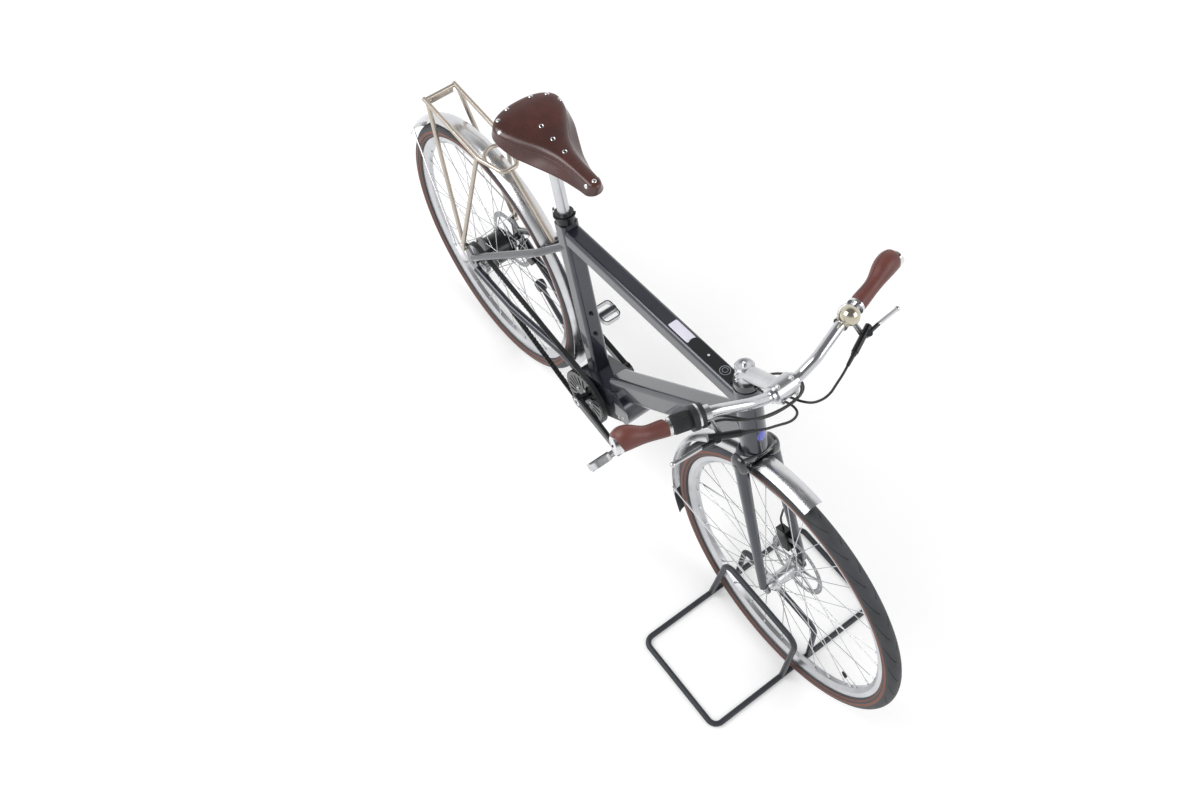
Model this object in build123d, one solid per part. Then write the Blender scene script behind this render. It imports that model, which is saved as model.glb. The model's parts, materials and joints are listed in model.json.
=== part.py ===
from build123d import *
from math import acos, asin, atan2, ceil, cos, degrees, pi, radians, sin, sqrt, tan
import os

# City e-bike with a mid motor, a toothed belt drive and a hub gear, standing in a wire
# wheel stand.  X points forward, Y to the rider's left, Z up.  The model is built about
# the point where the rear tyre meets the floor, in millimetres, and is moved at the end
# so that the middle of its footprint is the origin.

# ---------------------------------------------------------------- driving dimensions
SEAT_GAP = 0.3            # clearance between seated pieces
RUN_GAP = 5.0             # clearance of parts that move past each other

# wheels
RIM_OUTER_R = 316.0       # rim flange radius
RIM_DEPTH = 20.0          # radial depth of the rim
RIM_WIDTH = 25.0          # outside width of the rim
TYRE_H = 35.0             # height of the tyre outside the rim flange
TYRE_SECTION = 40.0       # tyre width
SPOKE_COUNT = 32
SPOKE_W = 2.0             # square section of a spoke
SPOKE_LIFT = 0.9          # start of a spoke off its flange, as it leans in towards the rim
AXLE_R = 5.0
AXLE_CAP_R = 9.0
AXLE_OUT = 8.0            # axle beyond the hub caps, through the dropouts
AXLE_FIT = 0.05           # radial running clearance
FRONT_HUB_FLANGE_R = 24.0
FRONT_HUB_FLANGE_Y = 29.0
FRONT_HUB_BARREL_R = 15.0
FRONT_HUB_W = 98.0        # over the end caps
REAR_HUB_FLANGE_R = 47.0
REAR_HUB_FLANGE_Y = 27.0
REAR_HUB_BARREL_R = 40.0
REAR_HUB_W = 133.0
FLANGE_T = 3.0
ROTOR_R = 80.0
ROTOR_BAND = 13.0         # radial width of the braking band
ROTOR_T = 2.0
ROTOR_ARMS = 6
ROTOR_ARM_W = 7.0
ROTOR_HUB_R = 22.0
FRONT_ROTOR_Y = 41.0
REAR_ROTOR_Y = 47.0

# frame geometry
BB_DROP = 66.0            # crank axle below the wheel axles
TOE_GAP = 138.0           # from the motor's nose to the front mudguard
STAY_ROOM = 82.0          # least length of the chainstays beyond the rear mudguard
HEAD_ANGLE = 71.5
FORK_RAKE = 45.0
SEAT_ANGLE = 72.5
SEAT_TUBE_W = 44.0        # across the bike
SEAT_TUBE_D = 40.0        # along the bike
SEAT_TUBE_RISE = 490.0    # top of the seat tube above the crank axle
POST_DEPTH = 140.0        # seatpost inside the seat tube
BORE_EXTRA = 10.0         # bore beyond what it holds
TUBE_CORNER = 9.0         # corner radius of the shaped tubes
TOP_TUBE_W = 42.0
TOP_TUBE_H = 40.0
TOP_TUBE_REAR_DROP = 27.0   # below the seat tube's top
TOP_TUBE_FRONT_DROP = 40.0  # below the head tube's top
DOWN_TUBE_W = 56.0
DOWN_TUBE_H = 62.0
DOWN_TUBE_FRONT_RISE = 58.0   # above the head tube's foot
DOWN_TUBE_AHEAD = 71.4    # foot of the down tube from the crank axle
DOWN_TUBE_UP = 99.0
HEAD_TUBE_R = 28.0
HEAD_TUBE_H = 162.0
STAY_R = 9.5
STAY_TOP_DROP = 59.0      # seatstays' top below the seat tube's top
STAY_TOP_Y = 13.0
KNEE_ANGLE = 48.9         # knee of the seatstays about the rear axle
KNEE_TUCK = 15.0          # inside the mudguard's crown line, beside the mudguard
KNEE_Y = 36.0
KNEE_BEND = 70.0
HEEL_BACK = 12.0          # seatstays' line behind and above the rear axle
HEEL_UP = 6.0
BRIDGE_R = 7.0            # seatstay bridge
BRIDGE_GAP = 8.0          # above the mudguard
BOSS_RISE = 179.0         # lower bottle boss above the crank axle
BOSS_SPACING = 64.0
BOSS_R = 5.5
BOSS_H = 2.0
BOSS_HOLE_R = 2.5
BOSS_DEPTH = 12.0
CHAINSTAY_R = 10.0
STAY_FOOT_Y = 74.0        # centre of a stay's rear end, clear of the rear pulley
STAY_BEND_BACK = 150.0    # first bend of a chainstay from the rear axle
STAY_BEND_Y = 64.0
STAY_BEND_DROP = 26.0
STAY_WAIST = 125.0        # second bend behind the crank axle
STAY_WAIST_Y = 32.0
STAY_WAIST_UP = 18.0
DROPOUT_T = 6.0
DROPOUT_R = 24.0
MOTOR_R = 62.0            # lobe about the crank axle
MOTOR_NOSE_R = 46.0
MOTOR_NOSE_AHEAD = 97.4   # centre of the nose from the crank axle
MOTOR_NOSE_UP = 67.0
MOTOR_W = 72.0
MOTOR_COVER_T = 3.0       # side covers
MOTOR_COVER_INSET = 9.0
MOTOR_BOSS_R = 26.0       # round boss about the spindle
MOTOR_BOSS_T = 5.0
SHELL_T = 4.0
SHELL_RISE = 38.4         # lower edge of the shell above the crank axle

# belt drive
BELT_PITCH = 11.0
FRONT_PULLEY_TEETH = 42
REAR_PULLEY_TEETH = 24
BELT_W = 12.0
BELT_T = 3.4
BELT_TOOTH_H = 2.6
BELT_Y = -52.0            # centre plane of the belt
BELT_CLEAR = 0.6          # pulley tips to the inside of the belt
PULLEY_SLOTS = 20
PULLEY_SLOT_W = 5.5
PULLEY_SLOT_IN_R = 34.0
REAR_PULLEY_SLOT_IN_R = 17.0
PULLEY_RING = 8.0         # ring left between the slots and the teeth

# cranks and pedals
CRANK_LENGTH = 170.0
CRANK_ANGLE = 5.0         # forward crank above the level
CRANK_INNER_Y = 68.0      # inside face of an arm at its boss
CRANK_T = 14.0
CRANK_FLARE = 12.0        # how far the arm's end stands out from its boss
CRANK_BOSS_R = 18.0
CRANK_EYE_R = 14.0
SPINDLE_R = 10.0
PEDAL_NECK = 20.0         # bare axle between the crank and the cage
PEDAL_NECK_R = 8.0
PEDAL_W = 52.0
PEDAL_L = 58.0
PEDAL_H = 16.0
PEDAL_BODY_R = 11.0
PEDAL_AXLE_R = 6.5
PEDAL_CAGE_T = 3.0
PEDAL_CORNER_R = 13.0
PEDAL_TILT_RIGHT = -62.0
PEDAL_TILT_LEFT = 0.0

# fork and front
CROWN_TUCK = 31.0         # crown's foot below the top of the mudguard's crown line
CROWN_H = 22.0
CROWN_W = 104.0
CROWN_D = 46.0
CROWN_TOP_W = 62.0
CROWN_TOP_D = 56.0
CROWN_CORNER = 20.0
FORK_BLADE_Y_TOP = 41.0
FORK_BLADE_Y_TIP = 57.0
FORK_BLADE_TOP_R = 15.0
FORK_BLADE_TIP_R = 9.0
STEM_CLAMP_H = 34.0
STEM_R = 20.0
STEM_ARM_R = 15.0
STEM_CHEEK = 22.0         # half width of the bar clamp
STEM_CHEEK_T = 6.0
HEADSET_H = 16.0
HEADSET_INSET = 2.0
BAR_R = 11.1
BAR_CLAMP_R = 15.9
BAR_CLAMP_W = 62.0
BAR_POINTS = ((81.1, 0.0, 99.0), (82.1, 36.0, 100.0), (79.1, 80.0, 121.0),
              (60.1, 150.0, 144.0), (12.1, 340.0, 151.0))   # from the head tube's top
GRIP_R = 16.0
GRIP_LENGTH_LEFT = 130.0
GRIP_LENGTH_RIGHT = 96.0
GRIP_RING_W = 6.0
GRIP_RING_R = 17.5
SHIFTER_BARREL_L = 40.0
SHIFTER_BARREL_R = 17.0
SHIFTER_HOUSING_L = 24.0
SHIFTER_HOUSING_R = 24.0
SHIFTER_PORT_R = 3.5
SHIFTER_PORT_L = 14.0
SHIFTER_PORTS = ((18.5, -11.0), (7.0, -20.3))   # ahead of and above the bar
BELL_R = 20.0
BELL_CLAMP_W = 10.0
BELL_PLACE = 182.0        # from the bar's left end
BELL_NECK = 20.0
LEVER_CLAMP_W = 12.0
LEVER_PLACE_LEFT = 159.0  # from the bar's left end
LEVER_R = 4.2             # brake lever blade
LEVER_BODY_R = 7.0
LEVER_BODY_L = 62.0
LEVER_AHEAD = 43.0        # body's axis ahead of the bar
LEVER_BACK = 24.0         # body's outer end outboard of its clamp
LEVER_NUT_R = 5.5
LEVER_NUT_L = 6.0
LEVER_BOOT_R = 4.5
LEVER_BOOT_L = 26.0
LEVER_ARM_R = 5.2           # arm from the clamp band to the body
LEVER_BAND_T = 5.0
LEVER_PIVOT = (9.0, 12.0)   # ahead of the body, outboard of the clamp
LEVER_ELBOW = (34.0, 4.0)   # outboard and ahead of the pivot
LEVER_TIP = (92.0, 12.0, 8.0)   # outboard, ahead and below
LEVER_BEND = 60.0

# calipers
CALIPER_ALONG = 66.0      # along the blade or stay from the axle
CALIPER_BACK = 28.0
CALIPER_L = 58.0
CALIPER_D = 30.0
CALIPER_INNER_W = 7.5     # from the rotor's middle towards the spokes
CALIPER_OUTER_W = 12.0
POST_R = 4.5
POST_SPACING = 36.0
CALIPER_GAP = 1.5
REAR_CALIPER_ANGLE = -8.6
FRONT_POST_Y = 50.0
REAR_POST_Y = 62.0
TAIL_L = 92.0             # hose tail, from the caliper to where it enters the blade or stay
TAIL_BOW = 3.0
TAIL_BEND = 45.0

# cords and hose tails
CORD_R = 2.5
PORT_R = 4.0
PORT_L = 12.0

# mudguards
GUARD_CLEAR = 21.0        # tyre to the mudguard's crown line
GUARD_HALF_W = 23.0
GUARD_DROP = 9.0          # how far the edges lie nearer the tyre
GUARD_T = 1.6
REAR_GUARD_START = -12.0
REAR_GUARD_END = 158.0
FRONT_GUARD_START = 88.5
FRONT_GUARD_END = 200.0
CROWN_SPACER_ANGLE = 115.4
CROWN_SPACER_R = 7.0
CROWN_SPACER_L = 20.0
FLAP_END = 211.0
FLAP_LAP = 2.0            # degrees of flap outside the mudguard's end
FLAP_T = 2.5
STAY_WIRE_R = 2.2
FRONT_STAY_ANGLE = 196.0
FRONT_STAY_FOOT = (-10.0, 12.0)   # from the front axle
FRONT_STAY_Y = 72.0
REAR_STAY_ANGLE = 150.0
REAR_STAY_BACK = 16.0     # behind the rack's eyelet
REAR_STAY_OUT = 8.0

# saddle
SADDLE_LENGTH = 284.0
SADDLE_W = 174.0
SADDLE_SETBACK = 120.5    # saddle's rear behind the top of the seatpost
SADDLE_RISE = 57.0        # saddle's top above the top of the seatpost
LEATHER_T = 5.0
SADDLE_OPEN = 20.0        # how far the hollow runs past the leather's edge
SEATPOST_R = 13.6
SEATPOST_RISE = 170.0     # above the seat tube
CRADLE = (38.0, 54.0, 20.0)   # rail clamp
RAIL_R = 4.0
RAIL_Y = 22.0
CLAMP_H = 24.0
CLAMP_WALL = 8.0

# rack
RACK_R = 5.5
RACK_CLEAR = 22.0         # above the mudguard
RACK_REAR_X = -203.0
RACK_FRONT_X = 88.0
RACK_HALF_W = 42.0
RACK_FRONT_HALF_W = 20.0
RACK_TAPER = 68.0         # length over which the rails close in
RACK_RING_X = 48.0        # ends of the inner hoop on the rails
RACK_RING_APEX_X = 9.0
RACK_PLATE_T = 3.0
LIGHT_PLATE_H = 24.0
LIGHT_HOLE_SPACING = 50.0
LIGHT_HOLE_R = 2.75
EYELET_BACK = 26.0        # rack eyelet from the rear axle
EYELET_UP = 37.0
EYELET_R = 9.0
LEG_LUG_R = 7.5
LEG_LUG_T = 5.0
LEG_LUG_L = 27.0
LEG_REAR = 18.0           # rear legs' heads ahead of the rack's end
LEG_FRONT_X = 14.0

# control on the top tube
CONTROL_BACK = 105.0      # middle of the panel behind the head tube's axis
CONTROL_L = 140.0
CONTROL_W = 28.0
CONTROL_T = 3.0
CONTROL_BUTTON_R = 9.0
CONTROL_BUTTON_H = 1.2
CONTROL_BUTTON_AHEAD = 34.0

# kickstand
KICKSTAND_PLACE = (-170.6, 37, -52)   # of its pin, from the crank axle
KICKSTAND_FOLDED = (-0.9713, 0.2057, -0.1196)   # direction of the leg at rest
KICKSTAND_AXIS = (-0.16337, -0.94197, -0.29328)
KICKSTAND_L = 209.0
KICKSTAND_R = 7.5
KICKSTAND_TIP_R = 6.0
KICKSTAND_HUB_R = 12.0
KICKSTAND_HUB_T = 12.0
KICKSTAND_PIN_R = 4.0
KICKSTAND_FOOT = (34.0, 28.0, 11.0)
KICKSTAND_ARM = (8.0, 26.0)       # thickness and width of the bracket's arm
KICKSTAND_COLLAR_T = 4.0

# stand
STAND_TUBE_R = 7.0
STAND_REAR_X = -146.0     # from the front hub
STAND_FRONT_X = 118.0
STAND_HALF_W = 252.0
STAND_CORNER_R = 22.0
HOOP_FOOT_Y = 43.0
HOOP_TOP_Z = 195.0
HOOP_REAR_X = -134.0
HOOP_FRONT_X = 112.0
HOOP_CORNER_R = 28.0
HOOP_GAP = 2.0            # hoop to tyre

# routes of the hoses and gear cables, from the top of the head tube
HOSE_RIGHT = ((128.3, -103.6, 120.4), (135.5, -87.2, 118.6), (138.6, -66, 112), (145.1, -32, 100),
              (135.1, -5, 87), (115.1, 4, 75), (93.1, 5, 61), (69.1, 5, 40), (48.6, 4.7, 25.2),
              (27.8, 2.8, 18.2))
HOSE_LEFT = ((124.7, 117.7, 121), (132, 101.3, 119.1), (137.1, 84, 113), (146.1, 56, 103),
             (138.1, 32, 90), (117.1, 21, 77), (93.1, 17, 64), (68.1, 18, 42), (44.2, 19.6, 25.4),
             (24.4, 15.2, 17))
GEAR_CABLE_A = ((56.9, -159.6, 123), (61.3, -142.1, 122.3), (77.1, -122, 116), (100.1, -95, 107),
                (111.1, -60, 97), (112.1, -21, 87), (109.1, 15, 79), (98.1, 46, 70), (76.1, 61, 59),
                (52.1, 62, 44), (33.1, 57, 29.5), (19.1, 46.5, 21.4), (8.1, 31.5, 13.5))
GEAR_CABLE_B = ((70.9, -159.6, 127.5), (75.3, -142.1, 126.8), (91.1, -122, 122), (110.1, -82, 114),
                (115.1, -40, 104), (114.1, -4, 95), (106.1, 29, 86), (87.1, 47, 75), (65.1, 51, 57),
                (48.1, 45, 39), (32, 36, 24.6), (17.6, 26, 15))

# ---------------------------------------------------------------- worked-out places
TYRE_R = RIM_OUTER_R + TYRE_H
GUARD_R = TYRE_R + GUARD_CLEAR            # radius of the mudguards' crown line
BB_HEIGHT = TYRE_R - BB_DROP
SEAT_TUBE_TOP = BB_HEIGHT + SEAT_TUBE_RISE
TOP_TUBE_REAR_Z = SEAT_TUBE_TOP - TOP_TUBE_REAR_DROP
STAY_TOP_Z = SEAT_TUBE_TOP - STAY_TOP_DROP
CROWN_BOTTOM = TYRE_R + GUARD_R - CROWN_TUCK
HEAD_TUBE_BOTTOM = CROWN_BOTTOM + CROWN_H
HEAD_TUBE_TOP = HEAD_TUBE_BOTTOM + HEAD_TUBE_H
TOP_TUBE_FRONT_Z = HEAD_TUBE_TOP - TOP_TUBE_FRONT_DROP
DOWN_TUBE_FRONT_Z = HEAD_TUBE_BOTTOM + DOWN_TUBE_FRONT_RISE
SEATPOST_TOP = SEAT_TUBE_TOP + SEATPOST_RISE
SADDLE_TOP = SEATPOST_TOP + SADDLE_RISE
BOSS_LOW_Z = BB_HEIGHT + BOSS_RISE
RACK_Z = TYRE_R + GUARD_R + RACK_CLEAR
DROPOUT_Y = REAR_HUB_W / 2 + SEAT_GAP     # inside face of the rear dropouts
EYELET = (-EYELET_BACK, TYRE_R + EYELET_UP)
EYELET_Y = DROPOUT_Y + DROPOUT_T + 2 * LEG_LUG_T + 2 * SEAT_GAP   # outside of the rack's lugs
HOOP_TOP_Y = TYRE_SECTION / 2 + HOOP_GAP + STAND_TUBE_R
FRONT_PULLEY_R = FRONT_PULLEY_TEETH * BELT_PITCH / (2 * pi)
REAR_PULLEY_R = REAR_PULLEY_TEETH * BELT_PITCH / (2 * pi)
_belt_diff = FRONT_PULLEY_R - REAR_PULLEY_R
_least_stay = GUARD_R + STAY_ROOM
# the belt has the next whole number of teeth that leaves the wheel its room
BELT_TEETH = ceil((2 * _least_stay + pi * (FRONT_PULLEY_R + REAR_PULLEY_R) + _belt_diff ** 2 / _least_stay)
                  / BELT_PITCH)
_belt_free = BELT_TEETH * BELT_PITCH - pi * (FRONT_PULLEY_R + REAR_PULLEY_R)
CHAINSTAY_LENGTH = (_belt_free + sqrt(_belt_free ** 2 - 8 * _belt_diff ** 2)) / 4
BB_X = sqrt(CHAINSTAY_LENGTH ** 2 - BB_DROP ** 2)
WHEELBASE = BB_X + MOTOR_NOSE_AHEAD + MOTOR_NOSE_R + TOE_GAP + GUARD_R
BB = Vector(BB_X, 0, BB_HEIGHT)
KICKSTAND_PIVOT = BB + Vector(KICKSTAND_PLACE)
MOTOR_NOSE = BB + Vector(MOTOR_NOSE_AHEAD, 0, MOTOR_NOSE_UP)
REAR_HUB = Vector(0, 0, TYRE_R)
FRONT_HUB = Vector(WHEELBASE, 0, TYRE_R)
STEER_DIR = Vector(-cos(radians(HEAD_ANGLE)), 0, sin(radians(HEAD_ANGLE)))
STEER_FOOT = FRONT_HUB - FORK_RAKE * Vector(sin(radians(HEAD_ANGLE)), 0, cos(radians(HEAD_ANGLE)))
ACROSS = Axis((0, 0, 0), (0, -1, 0))      # angles about it go from forward to up
FORK_BLADE_ANGLE = degrees(atan2(CROWN_BOTTOM - TYRE_R, (STEER_FOOT.X - WHEELBASE)
                                 - (CROWN_BOTTOM - STEER_FOOT.Z) / tan(radians(HEAD_ANGLE))))


def steer_point(z):
    """Point of the steering axis at height z."""
    return STEER_FOOT + STEER_DIR * ((z - STEER_FOOT.Z) / STEER_DIR.Z)


def seat_point(z):
    """Point of the seat tube's axis at height z."""
    return Vector(BB.X - (z - BB.Z) / tan(radians(SEAT_ANGLE)), 0, z)


def rod(start, end, radius):
    """Round bar between two points."""
    start, end = Vector(start), Vector(end)
    plane = Plane(origin=start, z_dir=end - start)
    return extrude(plane * Circle(radius), (end - start).length)


def cone_rod(start, end, radius_start, radius_end):
    """Tapered round bar between two points."""
    start, end = Vector(start), Vector(end)
    direction = end - start
    low = Plane(origin=start, z_dir=direction) * Circle(radius_start)
    high = Plane(origin=end, z_dir=direction) * Circle(radius_end)
    return loft([low, high])


def bent_tube(points, radius, bends):
    """Round tube along straight runs joined by tangent arcs."""
    path = FilletPolyline(*[Vector(p) for p in points], radius=bends)
    section = Plane(origin=path @ 0, z_dir=path % 0) * Circle(radius)
    return sweep(section, path=path)


def across_disc(centre, radius, y_start, y_end):
    """Disc about an axis parallel to Y, between two Y positions."""
    start = Vector(centre.X, y_start, centre.Z)
    end = Vector(centre.X, y_end, centre.Z)
    return rod(start, end, radius)


def mirrored(shape):
    """The same shape on the other side of the bike."""
    return mirror(shape, about=Plane.XZ)


def box_tube(start, end, width, height, corner):
    """Bar with a rounded rectangular section, its width across the bike."""
    start, end = Vector(start), Vector(end)
    plane = Plane(origin=start, x_dir=(0, 1, 0), z_dir=end - start)
    return extrude(plane * RectangleRounded(width, height, corner), (end - start).length)


def lobes(centre_a, radius_a, centre_b, radius_b):
    """Outline around two circles in the bike's side plane, joined by their outer tangents."""
    reach = centre_b - centre_a
    line = atan2(reach.Z, reach.X)
    lean = acos((radius_a - radius_b) / reach.length)
    arcs = []
    for centre, radius, turns in ((centre_a, radius_a, (lean, pi, -lean)), (centre_b, radius_b, (-lean, 0, lean))):
        arcs.append([(centre.X + radius * cos(line + turn), centre.Z + radius * sin(line + turn))
                     for turn in turns])
    face = make_face([ThreePointArc(*arcs[0]), Line(arcs[0][2], arcs[1][0]),
                      ThreePointArc(*arcs[1]), Line(arcs[1][2], arcs[0][0])])
    return Plane(origin=(0, 0, 0), x_dir=(1, 0, 0), z_dir=(0, -1, 0)) * face


# ---------------------------------------------------------------- wheels
def tyre():
    """Tyre: round section with a flat seat on the rim."""
    centre_r = TYRE_R - TYRE_SECTION / 2
    seat_r = RIM_OUTER_R + SEAT_GAP
    section = Pos(centre_r, 0) * Circle(TYRE_SECTION / 2)
    section -= Pos(seat_r - TYRE_SECTION / 2, 0) * Rectangle(TYRE_SECTION, TYRE_SECTION)
    return revolve(section, Axis.Y)


def rim():
    """Rim: flat flanges outside and a narrow rounded spine inside."""
    half = RIM_WIDTH / 2
    inner = RIM_OUTER_R - RIM_DEPTH
    shoulder = RIM_OUTER_R - RIM_DEPTH * 0.55
    outline = Polyline((RIM_OUTER_R, -half), (RIM_OUTER_R, half), (shoulder, half),
                       (inner, half * 0.45), (inner, -half * 0.45), (shoulder, -half), close=True)
    return revolve(make_face(outline), Axis.Y)


def hub(flange_r, flange_y, barrel_r, width):
    """Hub shell with two flanges on a through axle."""
    half = width / 2
    return (across_disc(Vector(), barrel_r, -flange_y, flange_y)
            + across_disc(Vector(), flange_r, flange_y - FLANGE_T / 2, flange_y + FLANGE_T / 2)
            + across_disc(Vector(), flange_r, -flange_y - FLANGE_T / 2, -flange_y + FLANGE_T / 2)
            + across_disc(Vector(), AXLE_CAP_R, -half, half)
            + across_disc(Vector(), AXLE_R, -half - AXLE_OUT, half + AXLE_OUT))


def spokes(flange_r, flange_y):
    """Crossed spokes from the outside of each flange to the rim."""
    inner_r = flange_r - SPOKE_W
    outer_r = RIM_OUTER_R - RIM_DEPTH - SEAT_GAP
    lift = FLANGE_T / 2 + SPOKE_W / 2 + SPOKE_LIFT
    solids = []
    step = 360.0 / SPOKE_COUNT
    for index in range(SPOKE_COUNT):
        side = 1 if index % 2 else -1
        trail = 1 if (index // 2) % 2 else -1
        rim_angle = radians(index * step)
        hub_angle = rim_angle + trail * radians(68)
        side_y = side * (flange_y + lift * trail)
        start = Vector(inner_r * cos(hub_angle), side_y, inner_r * sin(hub_angle))
        end = Vector(outer_r * cos(rim_angle), side * SPOKE_W, outer_r * sin(rim_angle))
        plane = Plane(origin=start, z_dir=end - start)
        solids.append(extrude(plane * Rectangle(SPOKE_W, SPOKE_W), (end - start).length))
    return Compound(solids)


def rotor(y):
    """Brake disc: braking band, sloping arms and a centre carrier."""
    band_inner = ROTOR_R - ROTOR_BAND
    disc = Circle(ROTOR_R) - Circle(band_inner)
    disc += Circle(ROTOR_HUB_R)
    for index in range(ROTOR_ARMS):
        arm = Pos((band_inner + ROTOR_HUB_R) / 2, 0) * Rectangle(band_inner - ROTOR_HUB_R + ROTOR_ARM_W, ROTOR_ARM_W)
        disc += Rot(0, 0, index * 360 / ROTOR_ARMS) * arm
    plate = extrude(disc - Circle(AXLE_CAP_R + SEAT_GAP), ROTOR_T)
    return Pos(0, y + ROTOR_T / 2, 0) * Rot(90, 0, 0) * plate


# ---------------------------------------------------------------- belt drive
def belt_geometry():
    """Angle of the runs' normals to the line of centres, and that line's own angle."""
    lean = asin((FRONT_PULLEY_R - REAR_PULLEY_R) / CHAINSTAY_LENGTH)
    line = atan2(BB.Z - REAR_HUB.Z, BB.X - REAR_HUB.X)
    return lean, line


def pulley(teeth, y_width, slot_in_r, slots):
    """Toothed pulley about Y: teeth cut across the full width and radial slots through the web."""
    pitch_r = teeth * BELT_PITCH / (2 * pi)
    tip_r = pitch_r - BELT_CLEAR
    root_r = tip_r - BELT_TOOTH_H
    blank = Circle(tip_r)
    gap = BELT_PITCH * 0.5
    for index in range(teeth):
        angle = index * 360 / teeth
        blank -= Rot(0, 0, angle) * Pos((root_r + tip_r) / 2 + 1, 0) * Rectangle(BELT_TOOTH_H + 2, gap)
    slot_out_r = root_r - PULLEY_RING
    slot = SlotOverall(slot_out_r - slot_in_r, PULLEY_SLOT_W)
    for index in range(slots):
        blank -= Rot(0, 0, (index + 0.5) * 360 / slots) * Pos((slot_in_r + slot_out_r) / 2, 0) * slot
    return Rot(90, 0, 0) * extrude(blank, y_width / 2, both=True)


def belt():
    """Endless belt about both pulleys, with teeth on its two free runs."""
    lean, line = belt_geometry()
    plane = Plane(origin=REAR_HUB + Vector(0, BELT_Y, 0), x_dir=(1, 0, 0), z_dir=(0, -1, 0))
    centre = (BB.X - REAR_HUB.X, BB.Z - REAR_HUB.Z)

    def loop(grow):
        rear_r = REAR_PULLEY_R + grow
        front_r = FRONT_PULLEY_R + grow
        up = line + pi / 2 + lean
        low = line - pi / 2 - lean
        rear_up = (rear_r * cos(up), rear_r * sin(up))
        rear_low = (rear_r * cos(low), rear_r * sin(low))
        front_up = (centre[0] + front_r * cos(up), centre[1] + front_r * sin(up))
        front_low = (centre[0] + front_r * cos(low), centre[1] + front_r * sin(low))
        rear_mid = (-rear_r * cos(line), -rear_r * sin(line))
        front_mid = (centre[0] + front_r * cos(line), centre[1] + front_r * sin(line))
        return make_face([Line(rear_up, front_up), ThreePointArc(front_up, front_mid, front_low),
                          Line(front_low, rear_low), ThreePointArc(rear_low, rear_mid, rear_up)])

    band = loop(BELT_T) - loop(0)
    run = CHAINSTAY_LENGTH * cos(lean)
    count = int(run / BELT_PITCH) - 3
    first = (run - (count - 1) * BELT_PITCH) / 2
    for side in (1, -1):
        normal = line + side * (pi / 2 + lean)
        along = normal - side * pi / 2
        for index in range(count):
            reach = first + index * BELT_PITCH
            x = REAR_PULLEY_R * cos(normal) + reach * cos(along)
            z = REAR_PULLEY_R * sin(normal) + reach * sin(along)
            tooth = Pos(-BELT_TOOTH_H / 2 + BELT_T / 4, 0) * Rectangle(BELT_TOOTH_H + BELT_T / 2, BELT_PITCH * 0.45)
            band += Pos(x, z) * Rot(0, 0, degrees(normal)) * tooth
    return extrude(plane * band, BELT_W / 2, both=True)


# ---------------------------------------------------------------- frame
def seat_tube_envelope(grow):
    """Outside of the seat tube, grown by a clearance."""
    return box_tube(seat_point(BB.Z), seat_point(SEAT_TUBE_TOP), SEAT_TUBE_W + 2 * grow, SEAT_TUBE_D + 2 * grow,
                    TUBE_CORNER)


def boss_place(z):
    """Plane of a bottle boss on the front of the seat tube, facing forward."""
    outward = Vector(sin(radians(SEAT_ANGLE)), 0, cos(radians(SEAT_ANGLE)))
    return Plane(origin=seat_point(z) + outward * (SEAT_TUBE_D / 2 - 1), z_dir=outward)


def seat_tube():
    """Seat tube with its two bottle bosses, bored for the seatpost."""
    tube = seat_tube_envelope(0) - motor_envelope(SHELL_T + SEAT_GAP)
    tube = tube.solids().sort_by(Axis.Z)[-1]
    for z in (BOSS_LOW_Z, BOSS_LOW_Z + BOSS_SPACING * sin(radians(SEAT_ANGLE))):
        place = boss_place(z)
        tube += extrude(place * Circle(BOSS_R), 1 + BOSS_H)
        tube -= extrude(place.offset(1 + BOSS_H - BOSS_DEPTH) * Circle(BOSS_HOLE_R), BOSS_DEPTH + 1)
    return tube - rod(seat_point(SEAT_TUBE_TOP - POST_DEPTH - BORE_EXTRA), seat_point(SEAT_TUBE_TOP + BORE_EXTRA),
                      SEATPOST_R + SEAT_GAP)


def head_tube_envelope(grow):
    """Outside of the head tube and well past its ends, grown by a clearance."""
    return rod(steer_point(HEAD_TUBE_BOTTOM - HEAD_TUBE_H / 2), steer_point(HEAD_TUBE_TOP + HEAD_TUBE_H / 2),
               HEAD_TUBE_R + grow)


def top_tube_line():
    """Start of the top tube's axis, its end and its direction."""
    start = seat_point(TOP_TUBE_REAR_Z)
    end = steer_point(TOP_TUBE_FRONT_Z)
    return start, end, (end - start).normalized()


def top_tube():
    """Sloping top tube between the seat tube and the head tube."""
    start, end, _ = top_tube_line()
    tube = box_tube(start, end, TOP_TUBE_W, TOP_TUBE_H, TUBE_CORNER)
    tube -= head_tube_envelope(SEAT_GAP)
    cut = box_tube(seat_point(BB.Z), seat_point(SEAT_TUBE_TOP + SEAT_TUBE_D), TOP_TUBE_W + SEAT_TUBE_W,
                   SEAT_TUBE_D + 2 * SEAT_GAP, TUBE_CORNER)
    return tube - cut


def top_tube_control():
    """Control panel on the top face of the top tube, with its round button."""
    _, end, direction = top_tube_line()
    up = Vector(-direction.Z, 0, direction.X)
    middle = end - direction * CONTROL_BACK + up * (TOP_TUBE_H / 2 + SEAT_GAP)
    plane = Plane(origin=middle, x_dir=direction, z_dir=up)
    panel = extrude(plane * SlotOverall(CONTROL_L, CONTROL_W), CONTROL_T)
    button = plane * Pos(CONTROL_BUTTON_AHEAD, 0) * Circle(CONTROL_BUTTON_R)
    return panel + extrude(button, CONTROL_T + CONTROL_BUTTON_H)


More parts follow.
